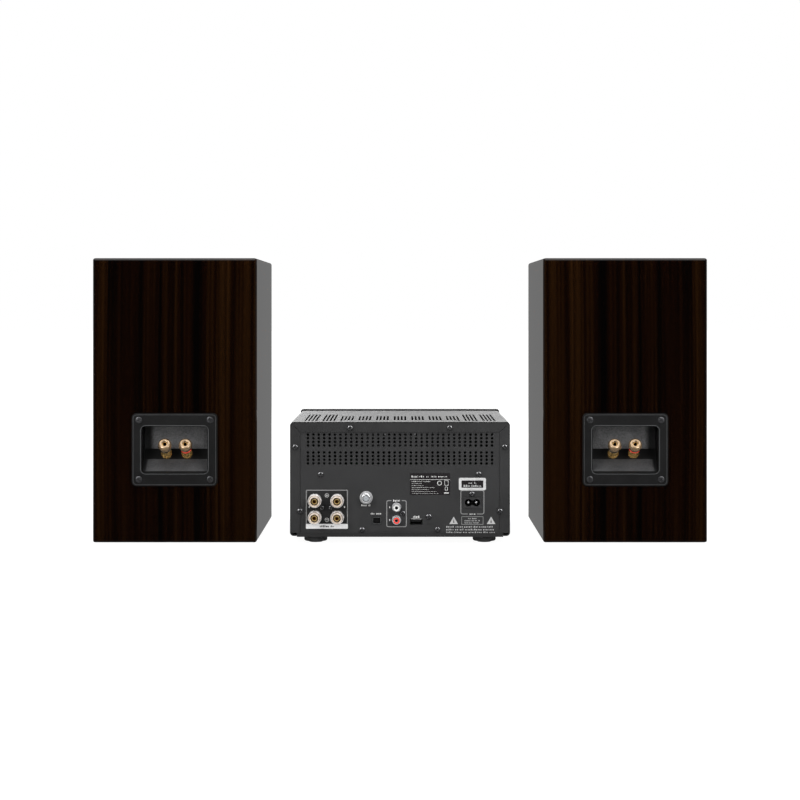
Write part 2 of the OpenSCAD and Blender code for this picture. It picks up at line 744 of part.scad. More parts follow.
module cd_tray() {
  back = tray_y + tray_len;
  first = -2;
  last = floor((tray_travel + 8) / (PI * gear_module));
  color([0.10, 0.10, 0.11]) union() {
    difference() {
      translate([-tray_w / 2, tray_y, tray_z]) cube([tray_w, tray_len, tray_t]);
      translate([0, disc_y, tray_z + tray_t - 2.5]) cylinder(d = disc_dia, h = 3 + cut, $fn = 96);
      translate([0, disc_y, tray_z + tray_t - 4]) cylinder(d = 82, h = 3 + cut, $fn = 96);
      // spindle and pickup slot, open to the rear
      translate([0, disc_y, tray_z - cut]) cylinder(d = tray_slot_w, h = tray_t + 2 * cut);
      translate([-tray_slot_w / 2, disc_y, tray_z - cut]) cube([tray_slot_w, tray_len, tray_t + 2 * cut]);
      // thumb notches beside the disc
      for (side = [-1, 1]) translate([side * 60, disc_y, tray_z + tray_t - 4]) cylinder(d = 26, h = 5);
      // lightening of the rear arms
      for (side = [-1, 1]) translate([side < 0 ? -58 : 28, disc_y + 66, tray_z + 2]) cube([30, 28, tray_t]);
    }
    // rack under the tray
    rack_z = gear_z + 0.3;
    translate([rack_x - 4.2, pinion_y - 6, rack_z]) cube([3, back - pinion_y + 6, tray_z - rack_z + 0.1]);
    translate([rack_x, pinion_y, rack_z]) linear_extrude(tray_z - rack_z - 0.4) rack_teeth(first, last);
  }
}

module tray_door() {
  color([0.06, 0.06, 0.065]) union() {
    along_y(panel_y, 2.9) translate(door_c) polygon(rounded(door_size[0], door_size[1], 1.2, 3));
    // finger bead
    along_y(panel_y - 0.5, 0.6) translate([0, door_c[1] - door_size[1] / 2 + 2.2])
      square([door_size[0] - 8, 1], center = true);
  }
}

// A gear of straight-sided teeth whose flanks follow an involute, with a tooth on angle 180.
function involute(base_r, t) =
  [base_r * (cos(t) + t * PI / 180 * sin(t)), base_r * (sin(t) - t * PI / 180 * cos(t))];
function turned(p, a) = [p[0] * cos(a) - p[1] * sin(a), p[0] * sin(a) + p[1] * cos(a)];

module gear_outline() {
  base_r = pinion_r * cos(20);
  tip_r = pinion_r + 0.9 * gear_module;
  root_r = pinion_r - 1.2 * gear_module;
  steps = 5;
  tip_t = sqrt(pow(tip_r / base_r, 2) - 1) * 180 / PI;
  pitch_t = sqrt(pow(pinion_r / base_r, 2) - 1) * 180 / PI;
  at_pitch = involute(base_r, pitch_t);
  backlash = 0.12;
  half = 90 / gear_teeth - backlash / pinion_r * 180 / PI + atan2(at_pitch[1], at_pitch[0]);
  flank = [for (i = [0 : steps]) turned(involute(base_r, tip_t * i / steps), -half)];
  points = [for (k = [0 : gear_teeth - 1]) each [
    turned([root_r, 0], k * 360 / gear_teeth - half - 1.5),
    for (p = flank) turned(p, k * 360 / gear_teeth),
    for (i = [steps : -1 : 0]) turned([flank[i][0], -flank[i][1]], k * 360 / gear_teeth),
    turned([root_r, 0], k * 360 / gear_teeth + half + 1.5)]];
  polygon(points);
}

module tray_gear() {
  color([0.90, 0.90, 0.86]) translate([pinion_x, pinion_y, gear_z]) union() {
    linear_extrude(gear_t) gear_outline();
    translate([0, 0, -gear_z + loader_z - 1]) cylinder(d = 3, h = gear_z - loader_z + 1.1);
  }
}

module disc_spindle() {
  seat = tray_z + 6.1;             // the disc rests here, just clear of the tray
  seat_r = 11.5;
  color([0.30, 0.30, 0.32]) translate([0, disc_y, 0]) union() {
    rotate_extrude() polygon([[0, seat - 3.6], [seat_r, seat - 3.6], [seat_r, seat], [7.5, seat],
      [7.3, seat + 1.4], [5, seat + 2.6], [0, seat + 2.6]]);
    translate([0, 0, loader_z - 3]) cylinder(d = spindle_shaft, h = seat - loader_z);
    translate([0, 0, loader_z + 7.4]) cylinder(d = 6, h = seat - loader_z - 10.9);
  }
}

module pickup_sled() {
  lens_y = disc_y + 23;
  color([0.16, 0.16, 0.17]) difference() {
    union() {
      translate([-16, lens_y - sled_length / 2 + 1, rail_z - 2.8]) cube([32, sled_length, 5.4]);
      translate([-7, lens_y - 6, rail_z + 2.5]) cube([14, 12, 1.6]);
      translate([0, lens_y, rail_z + 4]) cylinder(d1 = 7, d2 = 5.4, h = 1.6);
    }
    for (side = [-1, 1])
      rod_y([side * rail_x, rail_z], rail_dia + 0.1, lens_y - sled_length, 2 * sled_length);
  }
}

// ======================= Speakers =======================

module at_speaker(side) { translate([side * speaker_offset, rear_y - speaker_setback, 0]) children(); }

// A box with all twelve edges rounded: the common part of three rounded prisms.
module soft_box(w, d, h, r) {
  n = 5;
  intersection() {
    along_y(-d, d) translate([0, h / 2]) polygon(rounded(w, h, r, n));
    along_x(-w / 2, w) translate([-d / 2, h / 2]) polygon(rounded(d, h, r, n));
    translate([0, -d / 2, 0]) linear_extrude(h) polygon(rounded(w, d, r, n));
  }
}

module speaker_cabinet(side) {
  inner = [speaker_w - 2 * wall, speaker_h - 2 * wall];
  color([0.10, 0.045, 0.02]) at_speaker(side) difference() {
    soft_box(speaker_w, speaker_d, speaker_h, edge_r);
    box_y([0, speaker_h / 2], inner, -speaker_d - cut, speaker_d + cut - wall);
    // cut-out and screw holes for the terminal cup
    box_y([0, cup_z], [80, 60], -wall - cut, wall + 2 * cut);
    for (c = cup_screws) rod_y(c, wood_screw + 0.1, -wall + 1, wall + cut);
  }
}

module speaker_baffle(side) {
  size = [speaker_w - 2 * wall - 2 * baffle_gap, speaker_h - 2 * wall - 2 * baffle_gap];
  color([0.03, 0.03, 0.03]) at_speaker(side) difference() {
    along_y(baffle_face, baffle_t) translate([0, speaker_h / 2]) polygon(rounded(size[0], size[1], 1, 2));
    rod_y([0, woofer_z], 2 * surround_r + 3, baffle_face - cut, baffle_t + 2 * cut);
    rod_y([0, tweeter_z], 2 * tweeter_body_r + 1, baffle_face - cut, baffle_t + 2 * cut);
    rod_y([0, port_z], port_dia + 2 * port_wall + 0.6, baffle_face - cut, baffle_t + 2 * cut);
    for (c = concat(woofer_screws, tweeter_screws)) rod_y(c, wood_screw + 0.1, baffle_face - cut, baffle_t);
  }
}

// Moves to a driver's axis at height z, with +Z turned to the front and z = 0 on the baffle's face.
module on_baffle(z) { translate([0, baffle_face, z]) facing_front() children(); }

// Screw holes through a driver's rim.
module driver_holes(r) {
  for (a = [45 : 90 : 315]) rotate([0, 0, a]) translate([r, 0, -cut]) cylinder(d = wood_screw + 1, h = 10);
}

module woofer_frame(side) {
  r = woofer_dia / 2;
  back = -basket_depth;
  color([0.16, 0.16, 0.17]) at_speaker(side) on_baffle(woofer_z) difference() {
    union() {
      // mounting ring, with the seat that its surround is glued to
      rotate_extrude($fn = 96) polygon([[surround_r + 0.2, 0], [r, 0], [r, 1.2], [r - 1.4, trim_t],
        [surround_r + 3, trim_t], [surround_r + 0.2, 1.8]]);
      rotate_extrude($fn = 96) polygon([[surround_r - 2.5, -5], [surround_r + 0.8, -5],
        [surround_r + 0.8, 0.1], [surround_r + 0.2, 0.1], [surround_r + 0.2, -2.6],
        [surround_r - 2.5, -2.6]]);
      difference() {
        rotate_extrude($fn = 96) polygon([[surround_r - 2.5, -4.9], [surround_r + 0.8, -4.9],
          [36, back + 2], [36, back - 2], [20, back - 2], [20, back + 1], [33, back + 1]]);
        // windows between the basket's legs
        for (a = [0 : 60 : 300])
          rotate([0, 0, a + 30]) translate([28, -13, back + 4]) cube([40, 26, -back - 13]);
      }
      // magnet, with its plates
      translate([0, 0, back - 2 - magnet_t]) difference() {
        cylinder(r = magnet_r, h = magnet_t);
        translate([0, 0, 8]) cylinder(r = coil_r + 1.4, h = magnet_t);
      }
      // pole piece
      translate([0, 0, back - 2 - magnet_t + 4]) cylinder(r = coil_r - 1.4, h = magnet_t - 4);
    }
    driver_holes(woofer_screw_r);
  }
}

module woofer_cone(side) {
  deep = -34;
  skin = 1.2;
  color([0.12, 0.12, 0.13]) at_speaker(side) on_baffle(woofer_z) union() {
    rotate_extrude($fn = 96) polygon([[cone_r, -1.6], [cone_r, -3], [cone_r - 1.5, -3],
      [coil_r + 0.6, deep - skin], [coil_r - 0.5, deep - skin], [coil_r - 0.5, deep + 1],
      [cone_r - 1.2, -1.6]]);
    // dust cap
    rotate_extrude($fn = 96) polygon(concat([[0, -19]], arc([0, -46], 27, 90, 42, 6),
      arc([0, -46], 25.8, 42, 90, 6)));
    // voice coil former
    translate([0, 0, -basket_depth - 8]) difference() {
      cylinder(r = coil_r, h = basket_depth + 8 + deep);
      translate([0, 0, -cut]) cylinder(r = coil_r - 0.5, h = basket_depth + 10 + deep);
    }
  }
}

module woofer_surround(side) {
  mid = (cone_r + surround_r) / 2;
  half = (surround_r - cone_r) / 2 - 0.5;
  color([0.04, 0.04, 0.04]) at_speaker(side) on_baffle(woofer_z)
    rotate_extrude($fn = 96) polygon(concat([[cone_r + 0.3, -1.2], [mid - half, -1.2]],
      arc([mid, -1.2], half, 170, 10, 8), [[mid + half, -1.2], [surround_r, -1.2], [surround_r, -2.4]],
      arc([mid, -2.4], half - 0.6, 0, 180, 8), [[cone_r + 0.3, -2.4]]));
}

module tweeter(side) {
  r = tweeter_dia / 2;
  body_r = tweeter_body_r;
  color([0.10, 0.10, 0.11]) at_speaker(side) on_baffle(tweeter_z) difference() {
    union() {
      // plate with a shallow waveguide
      rotate_extrude($fn = 96) polygon([[13.6, -4], [16, -6.4], [body_r, -6.4], [body_r, 0], [r, 0], [r, 1.2],
        [r - 1.2, trim_t], [r - 10, trim_t], [24, 0.6], [18, -2], [13.6, -3.4]]);
      // dome with its roll
      rotate_extrude($fn = 96) polygon(concat([[0, -6.4], [14, -6.4], [14, -3.8]],
        arc([0, -13.4], 15.6, 40, 90, 6)));
      translate([0, 0, -26]) cylinder(r = body_r - 1, h = 19.8);
    }
    driver_holes(tweeter_screw_r);
  }
}

module port_tube(side) {
  r = port_dia / 2;
  t = port_wall;
  flare = 6;
  color([0.05, 0.05, 0.05]) at_speaker(side) on_baffle(port_z)
    rotate_extrude($fn = 72) polygon(concat([[r, -port_len]],
      arc([r + flare, 1.5 - flare], flare, 180, 90, 6),
      [[r + flare + 1, 1.5], [r + flare + 1, 0.05], [r + t, 0.05], [r + t, -port_len]]));
}

module terminal_cup(side) {
  color([0.07, 0.07, 0.075]) at_speaker(side) translate([0, 0, cup_z]) difference() {
    union() {
      // bevelled plate
      along_y(0.05, cup_t - 1.25) polygon(rounded(cup_size[0], cup_size[1], 5));
      along_y(cup_t - 1.25, 0.65) polygon(rounded(cup_size[0] - 1.2, cup_size[1] - 1.2, 4.6));
      along_y(cup_t - 0.65, 0.65) polygon(rounded(cup_size[0] - 3, cup_size[1] - 3, 4));
      along_x(-38.5, 77) polygon(shell);
    }
    intersection() {
      along_x(-recess_w / 2, recess_w) polygon(cavity);
      along_y(-30, 40) polygon(rounded(recess_size[0], recess_size[1], 5));
    }
    // bevel round the recess
    along_y(cup_t - 0.6, 2) polygon(rounded(recess_size[0] + 1.6, recess_size[1] + 1.2, 5.6));
    for (c = cup_screws) translate([c[0], 0, c[1] - cup_z]) {
      rod_y([0, 0], 4, -cut, 6);
      translate([0, cup_t + 0.02, 0]) rotate([90, 0, 0]) cylinder(d1 = 7.8, d2 = 4, h = 1.9);
    }
    for (x = post_xs) translate([0, 0, -cup_z]) on_post(x)
      translate([0, 0, -5]) cylinder(d = post_thread + 0.4, h = 10);
  }
}

// Moves to a speaker post's axis: +Z points out of the cup and up by post_tilt.
module on_post(x) {
  translate([x, post_foot[0], cup_z + post_foot[1]]) rotate([post_tilt - 90, 0, 0]) children();
}

module post_studs(side) {
  color([0.83, 0.60, 0.24]) at_speaker(side) for (x = post_xs) on_post(x) difference() {
    union() {
      rotate_extrude() polygon([[0, 0.05], [6, 0.05], [6, 1.6], [5.3, 2.2], [5.3, 4.6], [4.7, 5], [4.7, 5.8],
          [5.5, 6.2], [5.5, 8.6], [4.9, 9], [4.9, 9.8], [5.6, 10.2], [5.6, 11.6], [4.8, 12.2], [3.4, 12.5],
        [0, 12.5]]);
      cylinder(d = post_thread, h = 24);
      // thread and nut behind the cup
      translate([0, 0, -14]) cylinder(d = post_thread, h = 15);
      translate([0, 0, -6.2]) cylinder(d = 10, h = 3.4, $fn = 6);
    }
    translate([0, 0, 8]) cylinder(d = banana_dia, h = 20);
  }
}

module post_cap(side, x) {
  flutes = 20;
  top = speaker_cap_z + speaker_cap_len;
  ring_top = speaker_cap_z + 1.3;
  skirt_z = speaker_cap_z + 5.7;
  color([0.72, 0.60, 0.45]) at_speaker(side) on_post(x) difference() {
    // coloured ring, waist, flared skirt and rounded nose with a funnel for the plug
    rotate_extrude() polygon([[3.1, speaker_cap_z], [6, speaker_cap_z], [6, ring_top], [4.6, ring_top + 0.4],
      [4.6, ring_top + 1.1], [6.2, skirt_z - 1.6], [6.9, skirt_z], [7.5, skirt_z + 0.9], [7.5, top - 3.2],
      [7, top - 1.6], [6.1, top - 0.5], [5.4, top],
      [2.9, top], [2.4, top - 0.8], [2.4, top - 1.6], [3.1, top - 1.7]]);
    for (k = [0 : flutes - 1]) rotate([0, 0, k * 360 / flutes])
      translate([7.75, 0, skirt_z - 1]) cylinder(d = 1, h = 3.2, $fn = 6);
  }
}

module crossover(side) {
  color([0.12, 0.32, 0.18]) at_speaker(side) translate([0, -110, wall]) union() {
    translate([-50, -35, 4]) cube([100, 70, 1.6]);
    for (x = [-44, 44], y = [-29, 29]) translate([x, y, 0]) cylinder(d = 5, h = 4.1);
    // air-core coils, capacitors and resistor
    for (x = [-26, 26]) translate([x, 12, 5.5]) difference() {
      cylinder(d = 34, h = 14);
      translate([0, 0, -0.1]) cylinder(d = 14, h = 16);
    }
    for (x = [-24, 12]) translate([x, -18, 12]) rotate([0, 90, 0]) cylinder(d = 13.2, h = 26);
  }
}

module speaker_screws(side) {
  color([0.30, 0.30, 0.31]) at_speaker(side) {
    for (c = cup_screws) translate([c[0], cup_t - 0.1, c[1]]) facing_rear() flat_screw(7.3, wood_screw, 13);
    for (c = concat(woofer_screws, tweeter_screws))
      translate([c[0], baffle_face - driver_screw_z, c[1]]) facing_front()
        screw(driver_screw, wood_screw, 16);
  }
}

// ======================= Nodes =======================

chassis_base();
rear_panel();
top_cover();
front_panel();
feet();
case_screws();
display_window();
main_board();
power_transformer();
heatsink();
control_board();
mains_inlet();
antenna_socket();
optical_socket();
rca_sockets();
usb_socket();
terminal_block();
terminal_studs();
terminal_cap(0);  // terminal_cap_1
terminal_cap(1);  // terminal_cap_2
terminal_cap(2);  // terminal_cap_3
terminal_cap(3);  // terminal_cap_4
volume_knob();
power_button();
push_button(button_x[0]);  // eject_button
push_button(button_x[1]);  // play_button
push_button(button_x[2]);  // previous_button
push_button(button_x[3]);  // next_button
cd_loader_frame();
cd_tray();
tray_door();
tray_gear();
disc_spindle();
pickup_sled();

speaker_cabinet(-1);  // left_cabinet
speaker_baffle(-1);  // left_baffle
woofer_frame(-1);  // left_woofer_frame
woofer_cone(-1);  // left_woofer_cone
woofer_surround(-1);  // left_woofer_surround
tweeter(-1);  // left_tweeter
port_tube(-1);  // left_port_tube
terminal_cup(-1);  // left_terminal_cup
crossover(-1);  // left_crossover
post_studs(-1);  // left_post_studs
post_cap(-1, post_xs[0]);  // left_post_cap_red
post_cap(-1, post_xs[1]);  // left_post_cap_black
speaker_screws(-1);  // left_screws
speaker_cabinet(1);  // right_cabinet
speaker_baffle(1);  // right_baffle
woofer_frame(1);  // right_woofer_frame
woofer_cone(1);  // right_woofer_cone
woofer_surround(1);  // right_woofer_surround
tweeter(1);  // right_tweeter
port_tube(1);  // right_port_tube
terminal_cup(1);  // right_terminal_cup
crossover(1);  // right_crossover
post_studs(1);  // right_post_studs
post_cap(1, post_xs[0]);  // right_post_cap_red
post_cap(1, post_xs[1]);  // right_post_cap_black
speaker_screws(1);  // right_screws
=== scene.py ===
# Mini hifi system: a CD receiver between two bookshelf speakers, seen from behind.

import json
import math
import random

import bmesh
import bpy
from mathutils import Matrix, Vector


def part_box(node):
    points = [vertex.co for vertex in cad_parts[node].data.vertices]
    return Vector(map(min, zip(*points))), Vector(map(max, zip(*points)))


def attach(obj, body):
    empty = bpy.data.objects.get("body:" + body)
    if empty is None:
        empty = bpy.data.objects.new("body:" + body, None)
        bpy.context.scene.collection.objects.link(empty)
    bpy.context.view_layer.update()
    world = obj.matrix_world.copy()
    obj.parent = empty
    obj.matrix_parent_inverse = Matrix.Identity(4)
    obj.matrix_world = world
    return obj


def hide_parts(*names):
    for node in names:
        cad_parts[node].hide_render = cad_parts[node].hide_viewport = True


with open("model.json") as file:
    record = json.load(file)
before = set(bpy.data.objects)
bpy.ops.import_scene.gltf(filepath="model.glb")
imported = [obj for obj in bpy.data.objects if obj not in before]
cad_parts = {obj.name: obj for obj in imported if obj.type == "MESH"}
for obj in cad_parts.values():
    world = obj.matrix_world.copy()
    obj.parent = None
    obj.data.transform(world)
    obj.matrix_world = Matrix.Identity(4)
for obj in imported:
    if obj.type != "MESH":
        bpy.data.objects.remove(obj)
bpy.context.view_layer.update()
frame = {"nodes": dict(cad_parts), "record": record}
nodes = frame["nodes"]
mounts = {m["name"]: m for m in frame["record"]["mounts"]}
MM = 0.001
SIDES = ("left", "right")


# ---------------------------------------------------------------- places, from the frame

def low(node):
    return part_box(node)[0]


def high(node):
    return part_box(node)[1]


def centre(node):
    lo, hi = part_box(node)
    return (lo + hi) / 2


def mount_at(name):
    return Vector(mounts[name]["pos_m"])


SHEET = 1.2 * MM
REAR = high("chassis_base").y                 # outer face of the receiver's rear flange
PANEL_FACE = high("rear_panel").y             # outer face of its rear panel
CASE_BOTTOM = low("chassis_base").z
PANEL_FRONT = low("front_panel").y
INK = 0.06 * MM                               # thickness of printed ink
REARWARD, FORWARD = (0, 1, 0), (0, -1, 0)


# ---------------------------------------------------------------- material nodes

class Nodes:
    """Short helpers to build a node tree."""

    def __init__(self, tree):
        self.tree = tree

    def node(self, kind, **values):
        made = self.tree.nodes.new(kind)
        for key, value in values.items():
            setattr(made, key, value)
        return made

    def link(self, out, into):
        self.tree.links.new(out, into)

    def fill(self, socket, value):
        if isinstance(value, bpy.types.NodeSocket):
            self.link(value, socket)
        else:
            socket.default_value = value

    def math(self, operation, a, b=None, c=None):
        made = self.node("ShaderNodeMath", operation=operation)
        for socket, value in zip(made.inputs, (a, b, c)):
            if value is not None:
                self.fill(socket, value)
        return made.outputs[0]

    def add(self, a, b):
        return self.math("ADD", a, b)

    def sub(self, a, b):
        return self.math("SUBTRACT", a, b)

    def mul(self, a, b, plus=None):
        return self.math("MULTIPLY" if plus is None else "MULTIPLY_ADD", a, b, plus)

    def abs(self, a):
        return self.math("ABSOLUTE", a)

    def over(self, a, b):
        return self.math("GREATER_THAN", a, b)

    def under(self, a, b):
        return self.math("LESS_THAN", a, b)

    def squares(self, a, b):
        return self.add(self.mul(a, a), self.mul(b, b))

    def xyz(self, place):
        made = self.node("ShaderNodeSeparateXYZ")
        self.link(place, made.inputs[0])
        return made.outputs

    def span(self, value, lo, hi, to_lo=0.0, to_hi=1.0, smooth=False):
        made = self.node("ShaderNodeMapRange")
        if smooth:
            made.interpolation_type = "SMOOTHSTEP"
        self.link(value, made.inputs["Value"])
        for key, number in (("From Min", lo), ("From Max", hi), ("To Min", to_lo), ("To Max", to_hi)):
            made.inputs[key].default_value = number
        return made.outputs["Result"]

    def ramp(self, value, *stops):
        made = self.node("ShaderNodeValToRGB")
        self.link(value, made.inputs["Fac"])
        band = made.color_ramp
        while len(band.elements) < len(stops):
            band.elements.new(0.5)
        for element, (at, color) in zip(band.elements, stops):
            element.position = at
            element.color = (*color, 1)
        return made.outputs["Color"]

    def camera_sees(self, other, seen, out):
        """Shows one shader to the camera and another to every other ray."""
        choose = self.node("ShaderNodeMixShader")
        self.link(self.node("ShaderNodeLightPath").outputs["Is Camera Ray"], choose.inputs[0])
        self.link(other.outputs[0], choose.inputs[1])
        self.link(seen.outputs[0], choose.inputs[2])
        self.link(choose.outputs[0], out.inputs["Surface"])


class Mat(Nodes):
    """A Principled material, with procedural detail in the frame's own metres."""

    def __init__(self, name):
        self.material = bpy.data.materials.new(name)
        self.material.use_nodes = True
        super().__init__(self.material.node_tree)
        self.shader = self.tree.nodes["Principled BSDF"]
        coords = self.node("ShaderNodeTexCoord")
        self.place = coords.outputs["Object"]
        self.normal = coords.outputs["Normal"]

    def set(self, name, value):
        self.fill(self.shader.inputs[name], value)

    def rough(self, value, lo, hi):
        self.set("Roughness", self.span(value, 0.3, 0.7, lo, hi))

    def scaled(self, scale):
        made = self.node("ShaderNodeMapping")
        self.link(self.place, made.inputs["Vector"])
        made.inputs["Scale"].default_value = scale
        return made.outputs["Vector"]

    def noise(self, scale, detail=2.0, rough=0.5, place=None):
        made = self.node("ShaderNodeTexNoise")
        self.link(place or self.place, made.inputs["Vector"])
        made.inputs["Scale"].default_value = scale
        made.inputs["Detail"].default_value = detail
        made.inputs["Roughness"].default_value = rough
        return made.outputs["Fac"]

    def join(self, x, y, z):
        made = self.node("ShaderNodeCombineXYZ")
        for socket, value in zip(made.inputs, (x, y, z)):
            self.fill(socket, value)
        return made.outputs[0]

    def mix(self, fac, a, b):
        made = self.node("ShaderNodeMix", data_type="RGBA")
        self.fill(made.inputs["Factor"], fac)
        for socket, value in ((made.inputs["A"], a), (made.inputs["B"], b)):
            self.fill(socket, (*value, 1) if isinstance(value, tuple) else value)
        return made.outputs["Result"]

    def bump(self, height, distance, strength=1.0):
        made = self.node("ShaderNodeBump")
        made.inputs["Strength"].default_value = strength
        made.inputs["Distance"].default_value = distance
        self.link(height, made.inputs["Height"])
        self.link(made.outputs["Normal"], self.shader.inputs["Normal"])


def shade(color, factor):
    return tuple(min(1.0, c * factor) for c in color)


def surface(name, color, rough, metallic=0.0, grain=1400.0, depth=0.02, **extra):
    """A painted, moulded or metal surface: fine grain in its bump, soft clouds in colour and gloss."""
    m = Mat(name)
    clouds = m.noise(35.0, 3.0)
    fine = m.noise(grain, 3.0, 0.6)
    both = m.mul(fine, 0.5, m.mul(clouds, 0.5))
    m.set("Base Color", m.ramp(both, (0.3, shade(color, 0.88)), (0.7, shade(color, 1.12))))
    m.rough(clouds, rough * 0.92, min(1.0, rough * 1.1))
    m.set("Metallic", metallic)
    m.bump(fine, depth * MM)
    for key, value in extra.items():
        m.set(key.replace("_", " "), value)
    return m.material


# ---------------------------------------------------------------- materials

def veneer():
    """Dark striped veneer under gloss lacquer. The stripes run up the walls and back over the top."""
    m = Mat("striped_veneer")
    x, y, z = m.xyz(m.place)
    nx, ny, nz = m.xyz(m.normal)
    across = m.abs(x)
    side = m.over(m.abs(nx), 0.7)
    top = m.over(m.abs(nz), 0.7)
    # u runs across the grain and v along it
    u = m.add(across, m.mul(side, m.sub(m.mul(y, 1.13), across)))
    v = m.add(z, m.mul(top, m.sub(y, z)))
    drift = m.mul(m.sub(m.noise(1.4, 1.0, 0.5, m.join(u, v, 0.3)), 0.5), 0.012)
    u = m.add(u, drift)

    def streak(across_scale, along_scale, seed, detail):
        place = m.join(m.mul(u, across_scale), m.mul(v, along_scale), seed)
        return m.noise(1.0, detail, 0.55, place)

    broad = streak(34.0, 0.7, 3.7, 1.0)
    bands = streak(120.0, 1.0, 8.1, 2.0)
    lines = streak(340.0, 1.4, 1.9, 2.0)
    pores = streak(2600.0, 60.0, 5.5, 1.0)
    tone = m.mul(lines, 0.36, m.mul(broad, 0.26, m.mul(bands, 0.38)))
    # each leaf is lighter round a line 54 mm outside the speaker's middle
    light_line = centre("right_cabinet").x + 54 * MM
    swell = m.math("COSINE", m.mul(m.sub(across, light_line), 2 * math.pi / (140 * MM)))
    tone = m.mul(swell, 0.018, tone)
    color = m.ramp(tone, (0.38, (0.0003, 0.0001, 0.0001)), (0.45, (0.0016, 0.0004, 0.0001)),
                   (0.505, (0.0035, 0.0009, 0.0002)), (0.56, (0.0064, 0.0022, 0.0004)),
                   (0.64, (0.0130, 0.0049, 0.0012)))
    color = m.mix(m.span(pores, 0.62, 0.72, 0.0, 0.4), color, (0.0006, 0.0002, 0.0001))
    m.set("Base Color", color)
    m.rough(bands, 0.40, 0.52)
    m.set("Specular IOR Level", 0.0)
    m.set("Coat Weight", m.span(top, 0.0, 1.0, 1.0, 0.22))
    m.set("Coat Roughness", m.span(top, 0.0, 1.0, 0.03, 0.16))
    m.bump(m.noise(9.0, 1.0), 0.05 * MM, 0.12)
    return m.material


def cup_plastic():
    """Moulded black plastic with a spark-eroded grain. In the recess, painted light makes the shelf and back wall
    greyer, and painted shade darkens the sloped band and the parts near the sides.
    """
    m = Mat("cup_plastic")
    grain = m.noise(1050.0, 3.0, 0.6)
    clouds = m.noise(60.0, 2.0)
    back = high("left_terminal_cup").y
    x, y, z = m.xyz(m.place)
    nx, ny, nz = m.xyz(m.normal)
    inside = m.under(y, back - 4.2 * MM)
    shelf = m.mul(inside, m.over(nz, 0.7))
    deep = m.under(y, back - 20 * MM)
    wall = m.mul(deep, m.over(ny, 0.95))
    # the sloped band between shelf and back wall is painted as shadow
    slope_shadow = m.mul(inside, m.math("COMPARE", nz, 0.5, 0.15))
    tone = m.mul(grain, 0.7, m.mul(clouds, 0.3))
    plain = m.ramp(tone, (0.35, (0.0036, 0.0036, 0.0038)), (0.65, (0.0072, 0.0072, 0.0074)))
    # lit and lit_wall are painted light: the shelf and the back wall drawn as lit greys
    lit = m.ramp(tone, (0.38, (0.036, 0.036, 0.037)), (0.62, (0.086, 0.086, 0.088)))
    lit_wall = m.ramp(tone, (0.38, (0.066, 0.066, 0.068)), (0.62, (0.150, 0.150, 0.153)))
    # painted shade on the shelf and back wall near the recess's outer side, and a little near its inner side
    outward = m.sub(m.abs(x), abs(centre("left_terminal_cup").x))
    shelf_shade = m.span(outward, 30.5 * MM, 33.5 * MM, 1.0, 0.12, smooth=True)
    wall_shade = m.mul(m.span(outward, 23.5 * MM, 30.5 * MM, 1.0, 0.10, smooth=True),
                       m.span(outward, -34 * MM, -26 * MM, 0.62, 1.0, smooth=True))
    shadow = (0.004, 0.004, 0.004)
    color = m.mix(shelf, plain, m.mix(shelf_shade, shadow, lit))
    color = m.mix(wall, color, m.mix(wall_shade, shadow, lit_wall))
    m.set("Base Color", m.mix(slope_shadow, color, shadow))
    m.rough(clouds, 0.44, 0.54)
    m.set("Specular IOR Level", m.span(inside, 0.0, 1.0, 0.16, 0.12))
    m.bump(grain, 0.05 * MM, 0.7)
    return m.material


def rear_paint():
    """Matte dark grey powder paint on the receiver's rear sheet metal."""
    m = Mat("rear_paint")
    grain = m.noise(3200.0, 2.0, 0.6)
    clouds = m.noise(28.0, 3.0)
    tone = m.mul(grain, 0.45, m.mul(clouds, 0.55))
    m.set("Base Color", m.ramp(tone, (0.35, (0.0175, 0.0175, 0.0182)), (0.65, (0.0255, 0.0255, 0.0262))))
    m.rough(grain, 0.58, 0.70)
    m.set("Specular IOR Level", 0.35)
    m.bump(grain, 0.03 * MM, 0.6)
    return m.material


def cover_paint():
    """The cover's satin paint, with a painted sheen that makes it lighter on top, and painted shade as a dark band
    on the rolled edge round its rear flange.
    """
    m = Mat("cover_paint")
    grain = m.noise(3000.0, 2.0, 0.6)
    clouds = m.noise(26.0, 3.0)
    tone = m.mul(grain, 0.45, m.mul(clouds, 0.55))
    paint = m.ramp(tone, (0.35, (0.014, 0.014, 0.0145)), (0.65, (0.0205, 0.0205, 0.021)))
    # painted sheen: the top face is drawn lighter for its gloss seen at a grazing angle
    painted_top_sheen = m.ramp(tone, (0.35, (0.062, 0.062, 0.063)), (0.65, (0.078, 0.078, 0.079)))
    lo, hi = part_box("top_cover")
    radius = 4 * MM
    x, y, z = m.xyz(m.place)
    nx, ny, nz = m.xyz(m.normal)
    ax = m.sub(m.abs(x), hi.x - radius)
    az = m.sub(m.abs(m.sub(z, (lo.z + hi.z) / 2)), (hi.z - lo.z) / 2 - radius)
    # distance from the round-cornered outline's core, which is the radius at the edge itself
    inner = m.math("MINIMUM", m.math("MAXIMUM", ax, az), 0.0)
    corner = m.math("SQRT", m.squares(m.math("MAXIMUM", ax, 0.0), m.math("MAXIMUM", az, 0.0)))
    # painted shade: rim near-blacks the rolled outer edge of the rear flange's face
    rim = m.mul(m.span(m.add(corner, inner), radius - 1.5 * MM, radius - 0.9 * MM), m.over(ny, 0.5))
    color = m.mix(rim, m.mix(m.over(nz, 0.7), paint, painted_top_sheen), (0.002, 0.002, 0.002))
    m.set("Base Color", color)
    m.rough(clouds, 0.40, 0.50)
    m.bump(grain, 0.03 * MM, 0.5)
    return m.material


